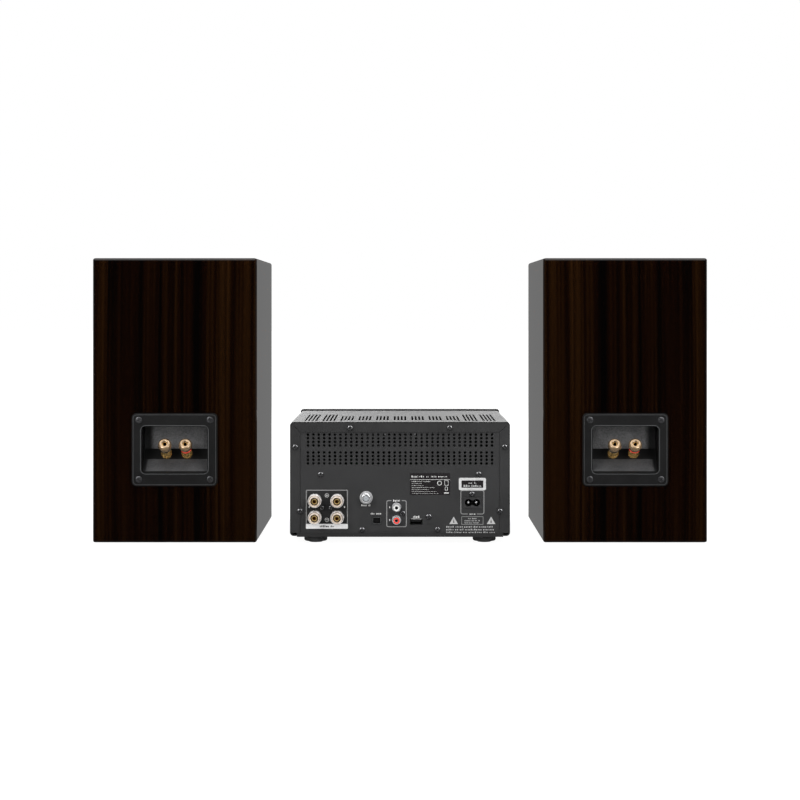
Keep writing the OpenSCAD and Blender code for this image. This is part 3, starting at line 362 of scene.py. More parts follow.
def brushed(name, color, rough, along, metallic):
    """Brushed metal or brushed lacquer: hairlines along one axis."""
    m = Mat(name)
    lines = m.noise(90.0, 3.0, 0.6, m.scaled(along))
    clouds = m.noise(30.0, 2.0)
    m.set("Base Color", m.ramp(lines, (0.3, shade(color, 0.84)), (0.7, shade(color, 1.12))))
    m.rough(lines, rough * 0.8, rough * 1.2)
    m.set("Metallic", metallic)
    m.set("Specular IOR Level", 0.5)
    both = m.mul(lines, 0.8, m.mul(clouds, 0.2))
    m.bump(both, 0.012 * MM, 0.8)
    return m.material


def turned_metal(name, color, rough, middle):
    """Metal turned on a lathe: fine rings round a front-to-back axis through a point."""
    m = Mat(name)
    x, y, z = m.xyz(m.place)
    radius = m.math("SQRT", m.squares(m.sub(x, middle.x), m.sub(z, middle.z)))
    rings = m.noise(1.0, 3.0, 0.7, m.join(m.mul(radius, 4200.0), 0.0, 0.0))
    clouds = m.noise(40.0, 2.0)
    m.set("Base Color", m.ramp(rings, (0.3, shade(color, 0.9)), (0.7, shade(color, 1.08))))
    m.rough(clouds, rough * 0.9, rough * 1.15)
    m.set("Metallic", 1.0)
    m.bump(rings, 0.01 * MM, 0.8)
    return m.material


def speaker_bore_shade_mask(m):
    """1 in the plug bores of the speakers' tilted studs, which mirror each other in x, 0 elsewhere: where the bores'
    painted shade goes.
    """
    x, y, z = m.xyz(m.place)
    one, other = mount_at("right_post_red_banana"), mount_at("right_post_black_banana")
    axis = Vector(mounts["right_post_red_banana"]["axis"]).normalized()
    apart = m.abs(m.sub(m.abs(x), (one.x + other.x) / 2))
    across = m.sub(apart, abs(one.x - other.x) / 2)
    lift = m.sub(m.mul(m.sub(y, one.y), axis.z), m.mul(m.sub(z, one.z), axis.y))
    return m.under(m.squares(across, lift), (2.12 * MM) ** 2)


def plated_gold():
    """Gold plate, yellow on the receiver's studs, redder on the speakers', with painted shade down in the bores:
    brown in the receiver's, near black in the speakers'.
    """
    m = Mat("gold")
    clouds = m.noise(300.0, 2.0)
    x, y, z = m.xyz(m.place)
    # inside marks the receiver studs' bores, which get a painted shade of brown
    inside = 0.0
    for number in range(1, 5):
        bore = mount_at(f"terminal_{number}_banana")
        near = m.under(m.squares(m.sub(x, bore.x), m.sub(z, bore.z)), (2.08 * MM) ** 2)
        inside = m.math("MAXIMUM", near, inside)
    gold = m.ramp(clouds, (0.35, (0.74, 0.49, 0.17)), (0.65, (0.90, 0.64, 0.27)))
    speaker = m.over(z, 70 * MM)                  # every speaker stud is above the receiver's
    gold = m.mix(speaker, gold, (0.92, 0.58, 0.20))
    # the bores' brown and near black are painted shade
    m.set("Base Color", m.mix(speaker_bore_shade_mask(m), m.mix(inside, gold, (0.42, 0.16, 0.012)), (0.035, 0.006, 0.002)))
    m.set("Roughness", m.sub(m.span(clouds, 0.3, 0.7, 0.16, 0.24), m.mul(speaker, 0.07)))
    m.set("Metallic", m.math("MAXIMUM", m.span(inside, 0.0, 1.0, 0.62, 0.1), m.mul(speaker, 0.80)))
    m.bump(m.noise(2200.0, 2.0), 0.003 * MM)
    return m.material


def inlet_plastic():
    """The mains inlet: its face is grey like the panel, and the rest, the figure-of-eight socket in its recess
    included, is painted near black as shade.
    """
    m = Mat("inlet_plastic")
    face = mount_at("mains_inlet_c8").y
    clouds = m.noise(200.0, 3.0)
    x, y, z = m.xyz(m.place)
    nx, ny, nz = m.xyz(m.normal)
    # outside is the rear face; everything else gets painted shade in near black
    outside = m.mul(m.over(ny, 0.9), m.over(y, face - 1.5 * MM))
    grey = m.ramp(clouds, (0.3, (0.020, 0.020, 0.021)), (0.7, (0.028, 0.028, 0.029)))
    m.set("Base Color", m.mix(outside, (0.0022, 0.0022, 0.0022), grey))
    m.rough(clouds, 0.36, 0.46)
    m.set("Specular IOR Level", m.span(outside, 0.0, 1.0, 0.2, 0.5))
    m.bump(m.noise(1800.0, 2.0), 0.02 * MM)
    return m.material


def woven_cone():
    """Woven fibre under a clear resin, in a two-by-two twill, for the woofer's cone."""
    m = Mat("woven_cone")
    x, y, z = m.xyz(m.place)
    pitch = 2 * math.pi / (1.7 * MM)
    warp = m.math("SINE", m.mul(m.add(x, z), pitch * 0.7071))
    weft = m.math("SINE", m.mul(m.sub(x, z), pitch * 0.7071))
    check = m.mul(warp, weft)
    fibre = m.noise(5200.0, 2.0)
    tone = m.mul(fibre, 0.25, m.span(check, -1.0, 1.0, 0.0, 0.75))
    m.set("Base Color", m.ramp(tone, (0.15, (0.018, 0.018, 0.020)), (0.85, (0.085, 0.085, 0.090))))
    m.set("Roughness", m.span(check, -1.0, 1.0, 0.30, 0.48))
    m.set("Coat Weight", 0.25)
    m.bump(check, 0.06 * MM, 0.6)
    return m.material


def circuit_board():
    """Green solder mask with lighter tracks."""
    m = Mat("circuit_board")
    cells = m.node("ShaderNodeTexVoronoi", feature="DISTANCE_TO_EDGE")
    m.link(m.place, cells.inputs["Vector"])
    cells.inputs["Scale"].default_value = 160.0
    tracks = m.span(cells.outputs["Distance"], 0.03, 0.06)
    fine = m.noise(900.0, 2.0)
    mask = m.mix(tracks, (0.020, 0.12, 0.04), (0.007, 0.05, 0.018))
    m.set("Base Color", m.mix(m.span(fine, 0.55, 0.7), mask, (0.012, 0.08, 0.03)))
    m.rough(fine, 0.28, 0.42)
    m.bump(tracks, 0.03 * MM, 0.5)
    return m.material


def windings():
    """Varnished tape wound round the toroid, with an amber sheen."""
    m = Mat("transformer_tape")
    c = centre("power_transformer")
    x, y, z = m.xyz(m.place)
    angle = m.math("ARCTAN2", m.sub(y, c.y), m.sub(x, c.x))
    turns = m.math("SINE", m.mul(angle, 70.0))
    clouds = m.noise(120.0, 2.0)
    m.set("Base Color", m.ramp(turns, (0.0, (0.28, 0.14, 0.03)), (1.0, (0.55, 0.32, 0.08))))
    m.rough(clouds, 0.3, 0.45)
    m.bump(turns, 0.2 * MM, 0.6)
    return m.material


def smoked_window():
    """Smoked acrylic over the display: nearly black, glossy, with a faint cell pattern behind."""
    m = Mat("smoked_window")
    x, y, z = m.xyz(m.place)
    cells = m.mul(m.math("SINE", m.mul(x, 900.0)), m.math("SINE", m.mul(z, 900.0)))
    clouds = m.noise(25.0, 2.0)
    m.set("Base Color", m.ramp(cells, (0.2, (0.0015, 0.0018, 0.0022)), (0.8, (0.0035, 0.0045, 0.0055))))
    m.rough(clouds, 0.03, 0.06)
    m.set("Coat Weight", 1.0)
    m.bump(clouds, 0.01 * MM, 0.1)
    return m.material


def pan_steel():
    """Zinc-plated sheet steel, painted like the rear panel on the pan's rear lip."""
    m = Mat("pan_steel")
    lines = m.noise(90.0, 3.0, 0.6, m.scaled((60, 1, 60)))
    x, y, z = m.xyz(m.place)
    painted = m.over(y, REAR - SHEET - 0.2 * MM)
    zinc = m.ramp(lines, (0.3, (0.084, 0.084, 0.088)), (0.7, (0.112, 0.112, 0.118)))
    m.set("Base Color", m.mix(painted, zinc, (0.0160, 0.0160, 0.0165)))
    m.set("Roughness", m.span(painted, 0.0, 1.0, 0.45, 0.64))
    m.set("Metallic", m.span(painted, 0.0, 1.0, 0.6, 0.0))
    m.set("Specular IOR Level", m.span(painted, 0.0, 1.0, 0.5, 0.3))
    m.bump(lines, 0.012 * MM, 0.8)
    return m.material


def clear_shell():
    """Clear plastic over plated metal, as on a receiver post's cap: silver skirt and creamy nose."""
    m = Mat("clear_cap")
    skirt = high("terminal_block").y + 12.6 * MM
    x, y, z = m.xyz(m.place)
    clouds = m.noise(420.0, 2.0)
    fine = m.noise(3000.0, 2.0)
    silver = m.ramp(clouds, (0.35, (0.60, 0.58, 0.57)), (0.65, (0.80, 0.78, 0.77)))
    cream = m.ramp(clouds, (0.35, (0.62, 0.50, 0.40)), (0.65, (0.84, 0.74, 0.64)))
    m.set("Base Color", m.mix(m.span(y, skirt - 1.5 * MM, skirt + 1.5 * MM), silver, cream))
    m.rough(clouds, 0.16, 0.28)
    m.set("Metallic", 0.25)
    m.set("Coat Weight", 1.0)
    m.set("Coat Roughness", 0.05)
    m.bump(fine, 0.006 * MM, 0.6)
    return m.material


INK_GRAIN = dict(grain=4000.0, depth=0.01)

# name, colour, roughness, metallic, and what differs from surface()'s other defaults
SURFACES = (
    ("foot_plastic", (0.050, 0.050, 0.051), 0.60, 0.0, dict(depth=0.05)),
    ("dark_screws", (0.15, 0.15, 0.155), 0.24, 0.9, dict(grain=2000.0, depth=0.004)),
    ("screw_head", (0.19, 0.19, 0.195), 0.26, 0.95, dict(grain=2000.0, depth=0.002)),
    ("cup_screw", (0.11, 0.11, 0.115), 0.30, 0.9, dict(grain=2000.0, depth=0.002)),
    # cup_edge is a light grey that paints highlights on the cup plates' bevels; the optical socket's lip uses it too
    ("cup_edge", (0.085, 0.088, 0.090), 0.35, 0.0, dict(depth=0.01)),
    ("socket_plastic", (0.012, 0.012, 0.012), 0.38, 0.0, {}),
    ("optical_plastic", (0.004, 0.004, 0.004), 0.50, 0.0, dict(Specular_IOR_Level=0.1)),
    ("usb_black", (0.004, 0.004, 0.004), 0.40, 0.0, dict(depth=0.01)),
    ("aerial_grey", (0.42, 0.44, 0.46), 0.30, 0.3, dict(depth=0.01)),
    ("nickel", (0.66, 0.66, 0.67), 0.24, 0.55, dict(grain=2600.0, depth=0.003)),
    ("bronze_cap", (0.40, 0.27, 0.155), 0.19, 0.70, dict(grain=2400.0, depth=0.006, Coat_Weight=0.6)),
    ("red_ring", (0.80, 0.030, 0.015), 0.35, 0.0, dict(depth=0.01)),
    ("black_ring", (0.012, 0.012, 0.012), 0.35, 0.0, dict(depth=0.01)),
    ("white_plastic", (0.68, 0.68, 0.66), 0.35, 0.0, dict(depth=0.01)),
    ("loader_plastic", (0.014, 0.014, 0.015), 0.50, 0.0, {}),
    ("tray_plastic", (0.018, 0.018, 0.020), 0.46, 0.0, dict(depth=0.03)),
    ("gear_plastic", (0.72, 0.71, 0.66), 0.40, 0.0, {}),
    ("baffle_black", (0.010, 0.010, 0.011), 0.30, 0.0, dict(grain=900.0, depth=0.01, Coat_Weight=0.5)),
    ("cast_frame", (0.045, 0.045, 0.048), 0.42, 0.3, dict(grain=1700.0, depth=0.04)),
    ("rubber", (0.014, 0.014, 0.014), 0.55, 0.0, dict(grain=1900.0)),
    ("tweeter_black", (0.016, 0.016, 0.017), 0.40, 0.0, dict(grain=1600.0)),
    ("port_plastic", (0.011, 0.011, 0.011), 0.50, 0.0, dict(depth=0.03)),
    ("white_ink", (0.56, 0.56, 0.55), 0.60, 0.0, INK_GRAIN),
    ("pale_ink", (0.40, 0.40, 0.40), 0.60, 0.0, INK_GRAIN),
    ("grey_ink", (0.21, 0.21, 0.21), 0.60, 0.0, INK_GRAIN),
    ("black_ink", (0.010, 0.010, 0.010), 0.50, 0.0, INK_GRAIN),
    ("label_black", (0.014, 0.012, 0.013), 0.28, 0.0, dict(grain=300.0, depth=0.004)),
    ("label_white", (0.73, 0.73, 0.73), 0.40, 0.0, dict(grain=500.0, depth=0.006)),
    ("label_grey", (0.50, 0.50, 0.50), 0.45, 0.0, dict(grain=500.0, depth=0.006)),
)
ODD_MATERIALS = {"mains_inlet": "inlet_plastic", "optical_socket": "optical_plastic", "usb_socket": "usb_black"}
MATERIALS = {}


def make_materials():
    """Makes every material and puts one on each CAD node: its slot's own, unless ODD_MATERIALS has it."""
    MATERIALS.update({
        "veneer": veneer(),
        "cup_plastic": cup_plastic(),
        "grey_panel": rear_paint(),
        "cover_paint": cover_paint(),
        "zinc_steel": pan_steel(),
        "front_black": brushed("front_black", (0.016, 0.016, 0.017), 0.38, (1, 60, 60), 0.0),
        "window": smoked_window(),
        "circuit_board": circuit_board(),
        "transformer": windings(),
        "heatsink": brushed("heatsink", (0.020, 0.020, 0.021), 0.42, (60, 60, 1), 0.4),
        "gold": plated_gold(),
        "clear_cap": clear_shell(),
        "inlet_plastic": inlet_plastic(),
        "knob_metal": turned_metal("knob_metal", (0.62, 0.62, 0.64), 0.28, centre("volume_knob")),
        "button_metal": brushed("button_metal", (0.50, 0.50, 0.52), 0.32, (1, 60, 60), 1.0),
        "cone": woven_cone(),
    })
    for name, color, rough, metallic, extra in SURFACES:
        MATERIALS[name] = surface(name, color, rough, metallic, **extra)
    for row in frame["record"]["subparts"]:
        obj = nodes[row["node"]]
        mat = MATERIALS[ODD_MATERIALS.get(row["node"], row["material_slot"])]
        if not obj.material_slots:
            obj.data.materials.append(mat)
        for slot in obj.material_slots:
            slot.material = mat


# ---------------------------------------------------------------- mesh helpers

def finish_mesh(bm, name, mat_name, body="receiver", sharp=35.0):
    """Turns a bmesh into a smooth-shaded piece with sharp creases, which rides on a body."""
    bmesh.ops.remove_doubles(bm, verts=bm.verts, dist=1e-7)
    bmesh.ops.recalc_face_normals(bm, faces=bm.faces)
    for edge in bm.edges:
        edge.smooth = len(edge.link_faces) == 2 and edge.calc_face_angle() < math.radians(sharp)
    for face in bm.faces:
        face.smooth = True
    mesh = bpy.data.meshes.new(name)
    bm.to_mesh(mesh)
    bm.free()
    piece = bpy.data.objects.new(name, mesh)
    bpy.context.scene.collection.objects.link(piece)
    mesh.materials.append(MATERIALS[mat_name])
    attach(piece, body)
    return piece


def flat(point):
    """A point's x, and its height above the case's bottom edge, both in millimetres."""
    return point.x / MM, (point.z - CASE_BOTTOM) / MM


def unflat(x, y, z):
    return x * MM, y, CASE_BOTTOM + z * MM


def prism(bm, points, y, t=INK):
    """A closed prism between y and y + t. Outlines are lists of flat points, as flat() gives them."""
    near = [bm.verts.new(unflat(x, y + t, z)) for x, z in points]
    far = [bm.verts.new(unflat(x, y, z)) for x, z in points]
    bm.faces.new(near)
    bm.faces.new(far)
    count = len(points)
    for i in range(count):
        j = (i + 1) % count
        bm.faces.new((near[i], near[j], far[j], far[i]))


def ring_prism(bm, outer, inner, y, t=INK, open_at=None):
    """A prism between two outlines of as many points; the stretch after point open_at is left open."""
    count = len(outer)
    low_out, high_out, low_in, high_in = [
        [bm.verts.new(unflat(x, d, z)) for x, z in line] for line in (outer, inner) for d in (y, y + t)]
    for i in range(count):
        j = (i + 1) % count
        if i == open_at:
            continue
        bm.faces.new((high_out[i], high_out[j], high_in[j], high_in[i]))
        bm.faces.new((low_out[j], low_out[i], low_in[i], low_in[j]))
        bm.faces.new((low_out[i], low_out[j], high_out[j], high_out[i]))
        bm.faces.new((low_in[j], low_in[i], high_in[i], high_in[j]))
        if (i - 1) % count == open_at:
            bm.faces.new((low_out[i], high_out[i], high_in[i], low_in[i]))
        if j == open_at:
            bm.faces.new((high_out[j], low_out[j], low_in[j], high_in[j]))


def rect(x0, z0, x1, z1, r=0.0, n=4):
    """Outline of a rectangle with round corners."""
    x0, x1 = sorted((x0, x1))
    z0, z1 = sorted((z0, z1))
    if r <= 0:
        return [(x0, z0), (x1, z0), (x1, z1), (x0, z1)]
    corners = ((x1 - r, z0 + r, -90), (x1 - r, z1 - r, 0), (x0 + r, z1 - r, 90), (x0 + r, z0 + r, 180))
    return [point for cx, cz, start in corners for point in arc(cx, cz, r, start, start + 90, n)]


def disc(cx, cz, r, n=32):
    return arc(cx, cz, r, 0, 360, n)[:-1]


def arc(cx, cz, r, start, end, n=8):
    angles = [math.radians(start + (end - start) * i / n) for i in range(n + 1)]
    return [(cx + r * math.cos(a), cz + r * math.sin(a)) for a in angles]


def lathe(bm, profile, origin, axis=REARWARD, steps=64, flute=None, closed=True):
    """Revolves a profile of (radius, height) in millimetres. flute(r, h, angle) may change a radius."""
    turn = Vector((0, 0, 1)).rotation_difference(Vector(axis).normalized()).to_matrix().to_4x4()
    place = Matrix.Translation(origin) @ turn
    rows = []
    for r, h in profile:
        if r < 1e-6:
            rows.append([bm.verts.new(place @ Vector((0, 0, h * MM)))])
            continue
        row = []
        for k in range(steps):
            angle = 2 * math.pi * k / steps
            rr = (flute(r, h, angle) if flute else r) * MM
            row.append(bm.verts.new(place @ Vector((rr * math.cos(angle), rr * math.sin(angle), h * MM))))
        rows.append(row)
    pairs = list(zip(rows, rows[1:]))
    if closed and len(rows[0]) > 1 and len(rows[-1]) > 1:
        pairs.append((rows[-1], rows[0]))
    for a, b in pairs:
        for k in range(steps):
            m = (k + 1) % steps
            if len(a) == 1:
                bm.faces.new((a[0], b[k], b[m]))
            elif len(b) == 1:
                bm.faces.new((a[k], a[m], b[0]))
            else:
                bm.faces.new((a[k], a[m], b[m], b[k]))


def turned(name, profile, origin, mat_name, slot, sharp=30, body="receiver", **how):
    """A piece turned on a lathe."""
    bm = bmesh.new()
    lathe(bm, profile, origin, **how)
    return finish_mesh(bm, name, mat_name, body, sharp)


# ---------------------------------------------------------------- camera, light, floor

def make_camera():
    data = bpy.data.cameras.new("camera")
    data.sensor_width = 36.0
    data.lens = 93.08
    data.shift_y = -0.11675
    data.clip_end = 50.0
    camera = bpy.data.objects.new("camera", data)
    camera.location = (0.0, REAR + 2.256, 0.2588)
    camera.rotation_euler = (math.pi / 2, 0.0, math.pi)
    bpy.context.scene.collection.objects.link(camera)
    bpy.context.scene.camera = camera


def make_lights():
    for name, at, aim, size, watts in (
            ("top_softbox", (0, 0.2, 1.9), (0, 0, 0), (2.6, 2.2), 34),
            ("left_key", (1.15, 2.3, 1.05), (0, 0.1, 0.1), (0.9, 1.1), 24),
            ("right_key", (-1.15, 2.3, 1.05), (0, 0.1, 0.1), (0.9, 1.1), 24),
            ("front_fill", (0.9, -2.2, 1.2), (0, 0, 0.1), (1.6, 1.4), 26),
            ("front_fill_2", (-0.9, -2.2, 1.2), (0, 0, 0.1), (1.6, 1.4), 20)):
        data = bpy.data.lights.new(name, "AREA")
        data.shape = "RECTANGLE"
        data.size, data.size_y = size
        data.energy = watts
        light = bpy.data.objects.new(name, data)
        light.location = at
        light.rotation_euler = (Vector(aim) - Vector(at)).to_track_quat("-Z", "Y").to_euler()
        bpy.context.scene.collection.objects.link(light)


def make_world():
    """A white room: plain white to the camera, and a soft grey studio to everything else."""
    world = bpy.data.worlds.new("studio")
    bpy.context.scene.world = world
    world.use_nodes = True
    world.node_tree.nodes.clear()
    w = Nodes(world.node_tree)
    x, y, z = w.xyz(w.node("ShaderNodeTexCoord").outputs["Generated"])
    greys = ((0.0, 0.285), (0.45, 0.30), (0.80, 0.16), (0.93, 0.035), (1.0, 0.02))
    level = w.ramp(w.span(y, -1.0, 1.0), *[(at, (grey, grey, grey)) for at, grey in greys])
    overhead = w.span(z, 0.15, 0.8, 0.0, 0.62)
    studio = w.node("ShaderNodeBackground")
    w.link(w.add(level, overhead), studio.inputs["Strength"])
    white = w.node("ShaderNodeBackground")
    white.inputs["Color"].default_value = (1, 1, 1, 1)
    w.camera_sees(studio, white, w.node("ShaderNodeOutputWorld"))


def make_floor():
    """A pale floor, lit to white like the sweep behind it; it keeps a light contact shadow."""
    m = Mat("floor_white")
    m.set("Base Color", m.ramp(m.noise(3.0), (0.3, (0.88, 0.88, 0.88)), (0.7, (0.92, 0.92, 0.92))))
    m.set("Roughness", 0.9)
    m.set("Specular IOR Level", 0.0)
    x, y, z = m.xyz(m.place)
    glow = m.node("ShaderNodeEmission")
    m.link(m.span(m.math("SQRT", m.squares(x, y)), 0.30, 0.80, 0.96, 1.0, smooth=True), glow.inputs["Strength"])
    soft = m.node("ShaderNodeBsdfDiffuse")
    soft.inputs["Color"].default_value = (0.20, 0.20, 0.20, 1)
    seen = m.node("ShaderNodeAddShader")
    m.link(glow.outputs[0], seen.inputs[0])
    m.link(soft.outputs[0], seen.inputs[1])
    m.camera_sees(m.shader, seen, m.tree.nodes["Material Output"])
    bm = bmesh.new()
    bm.faces.new([bm.verts.new((x, y, -0.0004)) for x, y in ((-20, -20), (20, -20), (20, 20), (-20, 20))])
    mesh = bpy.data.meshes.new("floor")
    bm.to_mesh(mesh)
    bm.free()
    mesh.materials.append(m.material)
    floor = bpy.data.objects.new("floor", mesh)
    bpy.context.scene.collection.objects.link(floor)
    floor.visible_glossy = False


# ---------------------------------------------------------------- receiver: printing on the back
# Sizes here are in millimetres; z counts from the case's bottom edge.

def words(bm, rng, x0, x1, z, height, gap=0.28, y=PANEL_FACE):
    """A line of greeked print: blocks of uneven ticks that stand for words, from x0 to x1."""
    step = -1 if x1 < x0 else 1
    at = x0
    while (x1 - at) * step > height * 0.9:
        length = rng.uniform(2.2, 5.2) * height
        stop = at + step * min(length, abs(x1 - at))
        while (stop - at) * step > 0.2 * height:
            width = rng.choice((0.3, 0.45, 0.6, 0.7)) * height
            tall = rng.choice((0.72, 0.72, 0.78, 1.0)) * height
            edge = at + step * min(width, abs(stop - at))
            prism(bm, rect(at, z, edge, z + tall), y)
            at = edge + step * gap * height
        at = stop + step * 0.75 * height


def outline(bm, x0, z0, x1, z1, line, r=0.0, y=PANEL_FACE, gap=None, n=4):
    """A printed frame with round corners. gap = (side, half) leaves the middle of a side open."""
    outer = rect(x0, z0, x1, z1, r, n)
    inner = rect(x0 + line, z0 + line, x1 - line, z1 - line, max(r - line, 0.05) if r > 0 else 0.0, n)
    if gap is None:
        ring_prism(bm, outer, inner, y)
        return
    side, half = gap
    middle = (x0 + x1) / 2
    at, sign, z_out = {"top": (2 * n + 1, 1, z1), "bottom": (4 * n + 3, -1, z0)}[side]
    for points, z in ((outer, z_out), (inner, z_out - sign * line)):
        points[at + 1:at + 1] = [(middle + sign * half, z), (middle - sign * half, z)]
    ring_prism(bm, outer, inner, y, open_at=(at + 1) % len(outer))


def make_rear_print():
    """Frames, captions and marks printed on the rear panel and on the terminal block."""
    rng = random.Random(7)
    white, grey, pale, dark, label = (bmesh.new() for _ in range(5))

    # frame and label bar of the speaker terminals
    block_lo, block_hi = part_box("terminal_block")
    (x0, z0), (x1, z1) = flat(block_lo), flat(block_hi)
    outline(grey, x0 - 1.1, z0 - 5.6, x1 + 1.1, z1 + 1.1, 1.0, 1.0)
    prism(label, rect(x0 - 1.1, z0 - 5.6, x1 + 1.1, z0 - 0.35, 0.9), PANEL_FACE, INK * 1.5)
    finish_mesh(label, "terminal_label_bar", "label_white")

    # aerial, optical and USB captions
    x, z = flat(mount_at("antenna_thread"))
    words(white, rng, x + 5.2, x - 4.6, 33.4, 2.0)
    x, z = flat(mount_at("optical_port"))
    words(white, rng, x + 6.6, x - 6.4, z + 6.6, 1.9)
    x, z = flat(mount_at("usb_port"))
    words(white, rng, x + 3.2, x - 4.2, z + 4.4, 2.2)
    outline(white, x - 5.4, z + 3.1, x + 5.4, z + 3.5, 0.2)
    words(dark, rng, x - 11.5, x - 20.5, z - 3.1, 1.8, 0.2)

    # phono frame with a gap for its caption, and a mark beside each socket
    phono = [mount_at("rca_left_centre"), mount_at("rca_right_centre")]
    x, z = flat((phono[0] + phono[1]) / 2)
    outline(grey, x - 11.1, z - 14.8, x + 11.1, z + 14.6, 0.9, 2.2, gap=("top", 5.6))
    words(white, rng, x + 3.6, x - 3.6, z + 13.1, 2.1)
    for x, z in map(flat, phono):
        prism(white, rect(x + 7.0, z - 1.0, x + 8.0, z + 0.8), PANEL_FACE)

    # mains inlet bracket, caution box, two triangles with a plain hole, and the notice under them
    x, z = flat(mount_at("mains_inlet_c8"))
    outline(grey, x - 13, 24.5, x + 13, 51, 0.8, 2.4, gap=("bottom", 5.0))
    words(white, rng, x + 3.2, x - 3.2, 24.2, 1.5)
    outline(grey, x - 11.9, 13.3, x + 11.9, 22.2, 0.5)
    for k, half in enumerate((4.5, 8.5, 8.5)):
        words(pale, rng, x + half, x - half, 19.3 - 2.3 * k, 1.2, 0.45)
    for cx in (x - 20.4, x + 20.4):
        hole = [(cx - 0.8, 15.4), (cx + 0.8, 15.4), (cx, 19.4)]
        ring_prism(pale, [(cx - 4.7, 13.9), (cx + 4.7, 13.9), (cx, 22)], hole, PANEL_FACE)
    for k, end in enumerate((23.4, 23.4, 27.6)):
        words(pale, rng, x + 28.4, x - end, 10.1 - 3.05 * k, 1.7, 0.5)

    # polarity rings and channel marks on the terminal block
    block_face = block_hi.y - 1.0 * MM
    x = (x0 + x1) / 2
    for z, plus in ((45.2, True), (18.6, False)):
        ring_prism(white, disc(x, z, 2.2), disc(x, z, 1.75), block_face)
        prism(white, rect(x - 1.2, z - 0.25, x + 1.2, z + 0.25), block_face)
        if plus:
            prism(white, rect(x - 0.25, z + 0.3, x + 0.25, z + 1.2), block_face)
            prism(white, rect(x - 0.25, z - 1.2, x + 0.25, z - 0.3), block_face)
    for side in (-1, 1):
        prism(white, rect(x + side * 18.6, 31.7, x + side * 19.8, 33.4), block_face)

    finish_mesh(white, "rear_print_white", "white_ink")
    finish_mesh(grey, "rear_print_grey", "grey_ink")
    finish_mesh(pale, "rear_print_pale", "pale_ink")
    words(dark, rng, x + 7.6, x - 7.6, z0 - 4.0, 2.1, y=PANEL_FACE + INK * 1.5)
    finish_mesh(dark, "terminal_caption", "black_ink")


def make_labels():
    """Two stickers: a black rating plate with greeked lines, and a white-framed black one."""
    rng = random.Random(11)
    plate, ink, frame_bm, core, notice = (bmesh.new() for _ in range(5))
    left, right = -10.9, -54.6
    prism(plate, rect(left, 45.7, right, 69.5, 0.8), PANEL_FACE, 0.14 * MM)
    finish_mesh(plate, "rating_plate", "label_black")
    top = PANEL_FACE + 0.14 * MM
    words(ink, rng, left - 1.6, left - 20, 64.8, 2.0, 0.5, top)
    words(ink, rng, left - 23, right + 2, 65.0, 1.4, 0.5, top)
    prism(ink, rect(left, 62.3, right, 62.65), top)
    lines = ((22, 1.1), (11, 0.75), (13, 0.75), (26, 0.8), (19, 0.65), (28, 0.6), (29, 0.6))
    for k, (length, height) in enumerate(lines):
        words(ink, rng, left - 1.8, left - 1.8 - length, 59.9 - 2.15 * k, height, 0.6, top)
    # plain boxes, a bar and a ring in place of the plate's marks
    x = right + 4.0
    outline(ink, x - 2.2, 56.0, x + 2.2, 61.4, 0.4, 0.3, top)
    outline(ink, x - 1.5, 50.6, x + 1.5, 54.6, 0.4, 0.3, top)
    prism(ink, rect(x - 2.6, 47.3, x + 2.6, 48.4), top)
    x = right + 11.5
    ring_prism(ink, disc(x, 58.6, 2.5), disc(x, 58.6, 1.9), top)
    finish_mesh(ink, "rating_plate_print", "white_ink")

    x = flat(mount_at("mains_inlet_c8"))[0]
    outer, inner = ([(x - a + c, za), (x + a - c, za), (x + a, za + c), (x + a, zb - c),
                     (x + a - c, zb), (x - a + c, zb), (x - a, zb - c), (x - a, za + c)]
                    for a, za, zb, c in ((14.8, 50.8, 64.4, 1.2), (11.9, 53.5, 61.5, 0.5)))
    ring_prism(frame_bm, outer, inner, PANEL_FACE, 0.16 * MM)
    finish_mesh(frame_bm, "notice_frame", "label_grey")
    prism(core, inner, PANEL_FACE, 0.10 * MM)
    finish_mesh(core, "notice_field", "label_black")
    words(notice, rng, x + 4.4, x - 4.6, 57.9, 1.8, 0.42, PANEL_FACE + 0.10 * MM)
    words(notice, rng, x + 9.6, x - 9.8, 54.5, 2.2, 0.36, PANEL_FACE + 0.10 * MM)
    finish_mesh(notice, "notice_print", "pale_ink")


# ---------------------------------------------------------------- posts and sockets

def make_receiver_caps():
    """Ribbed caps of the receiver's binding posts, each with a chamfered nose."""
    bore = 3.15
    for number in range(1, 5):
        node = f"terminal_cap_{number}"
        lo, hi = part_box(node)
        axis = mount_at(f"terminal_{number}_banana")
        origin = (axis.x, lo.y, axis.z)
        length = (hi.y - lo.y) / MM
        outer = (hi.x - lo.x) / 2 / MM

        def ribs(r, h, angle):
            on_skirt = 0.8 < h < 8.2 and r > 0.9 * outer
            return r - (0.28 if on_skirt and math.sin(angle * 28) < 0 else 0.0)

        shape = ((0.93, 0), (1, 0.7), (1, 0.9), (1, 8.0), (1, 8.3), (0.975, 8.9), (0.90, 9.4), (0.885, 10.2),
                 (0.84, 13.0), (0.80, 15.0), (0.775, length - 0.35), (0.73, length), (0.60, length),
                 (0.575, length - 0.4), (0.56, length - 3.3))
        profile = [(bore, 0)] + [(share * outer, h) for share, h in shape] + [(bore, length - 3.3)]
        piece = turned(f"cap_detail_{number}", profile, origin, "clear_cap", "clear_cap", 28, node,
                       steps=112, flute=ribs)
        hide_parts(node)
        # painted shade: a black ring laid on the floor of the nose's well
        floor = length - 3.26
        ink = INK / MM
        gap = [(3.12, floor), (4.2, floor), (4.2, floor + ink), (3.12, floor + ink)]
        turned(f"cap_well_shade_{number}", gap, origin, "black_ring", "clear_cap", body=node, steps=40)


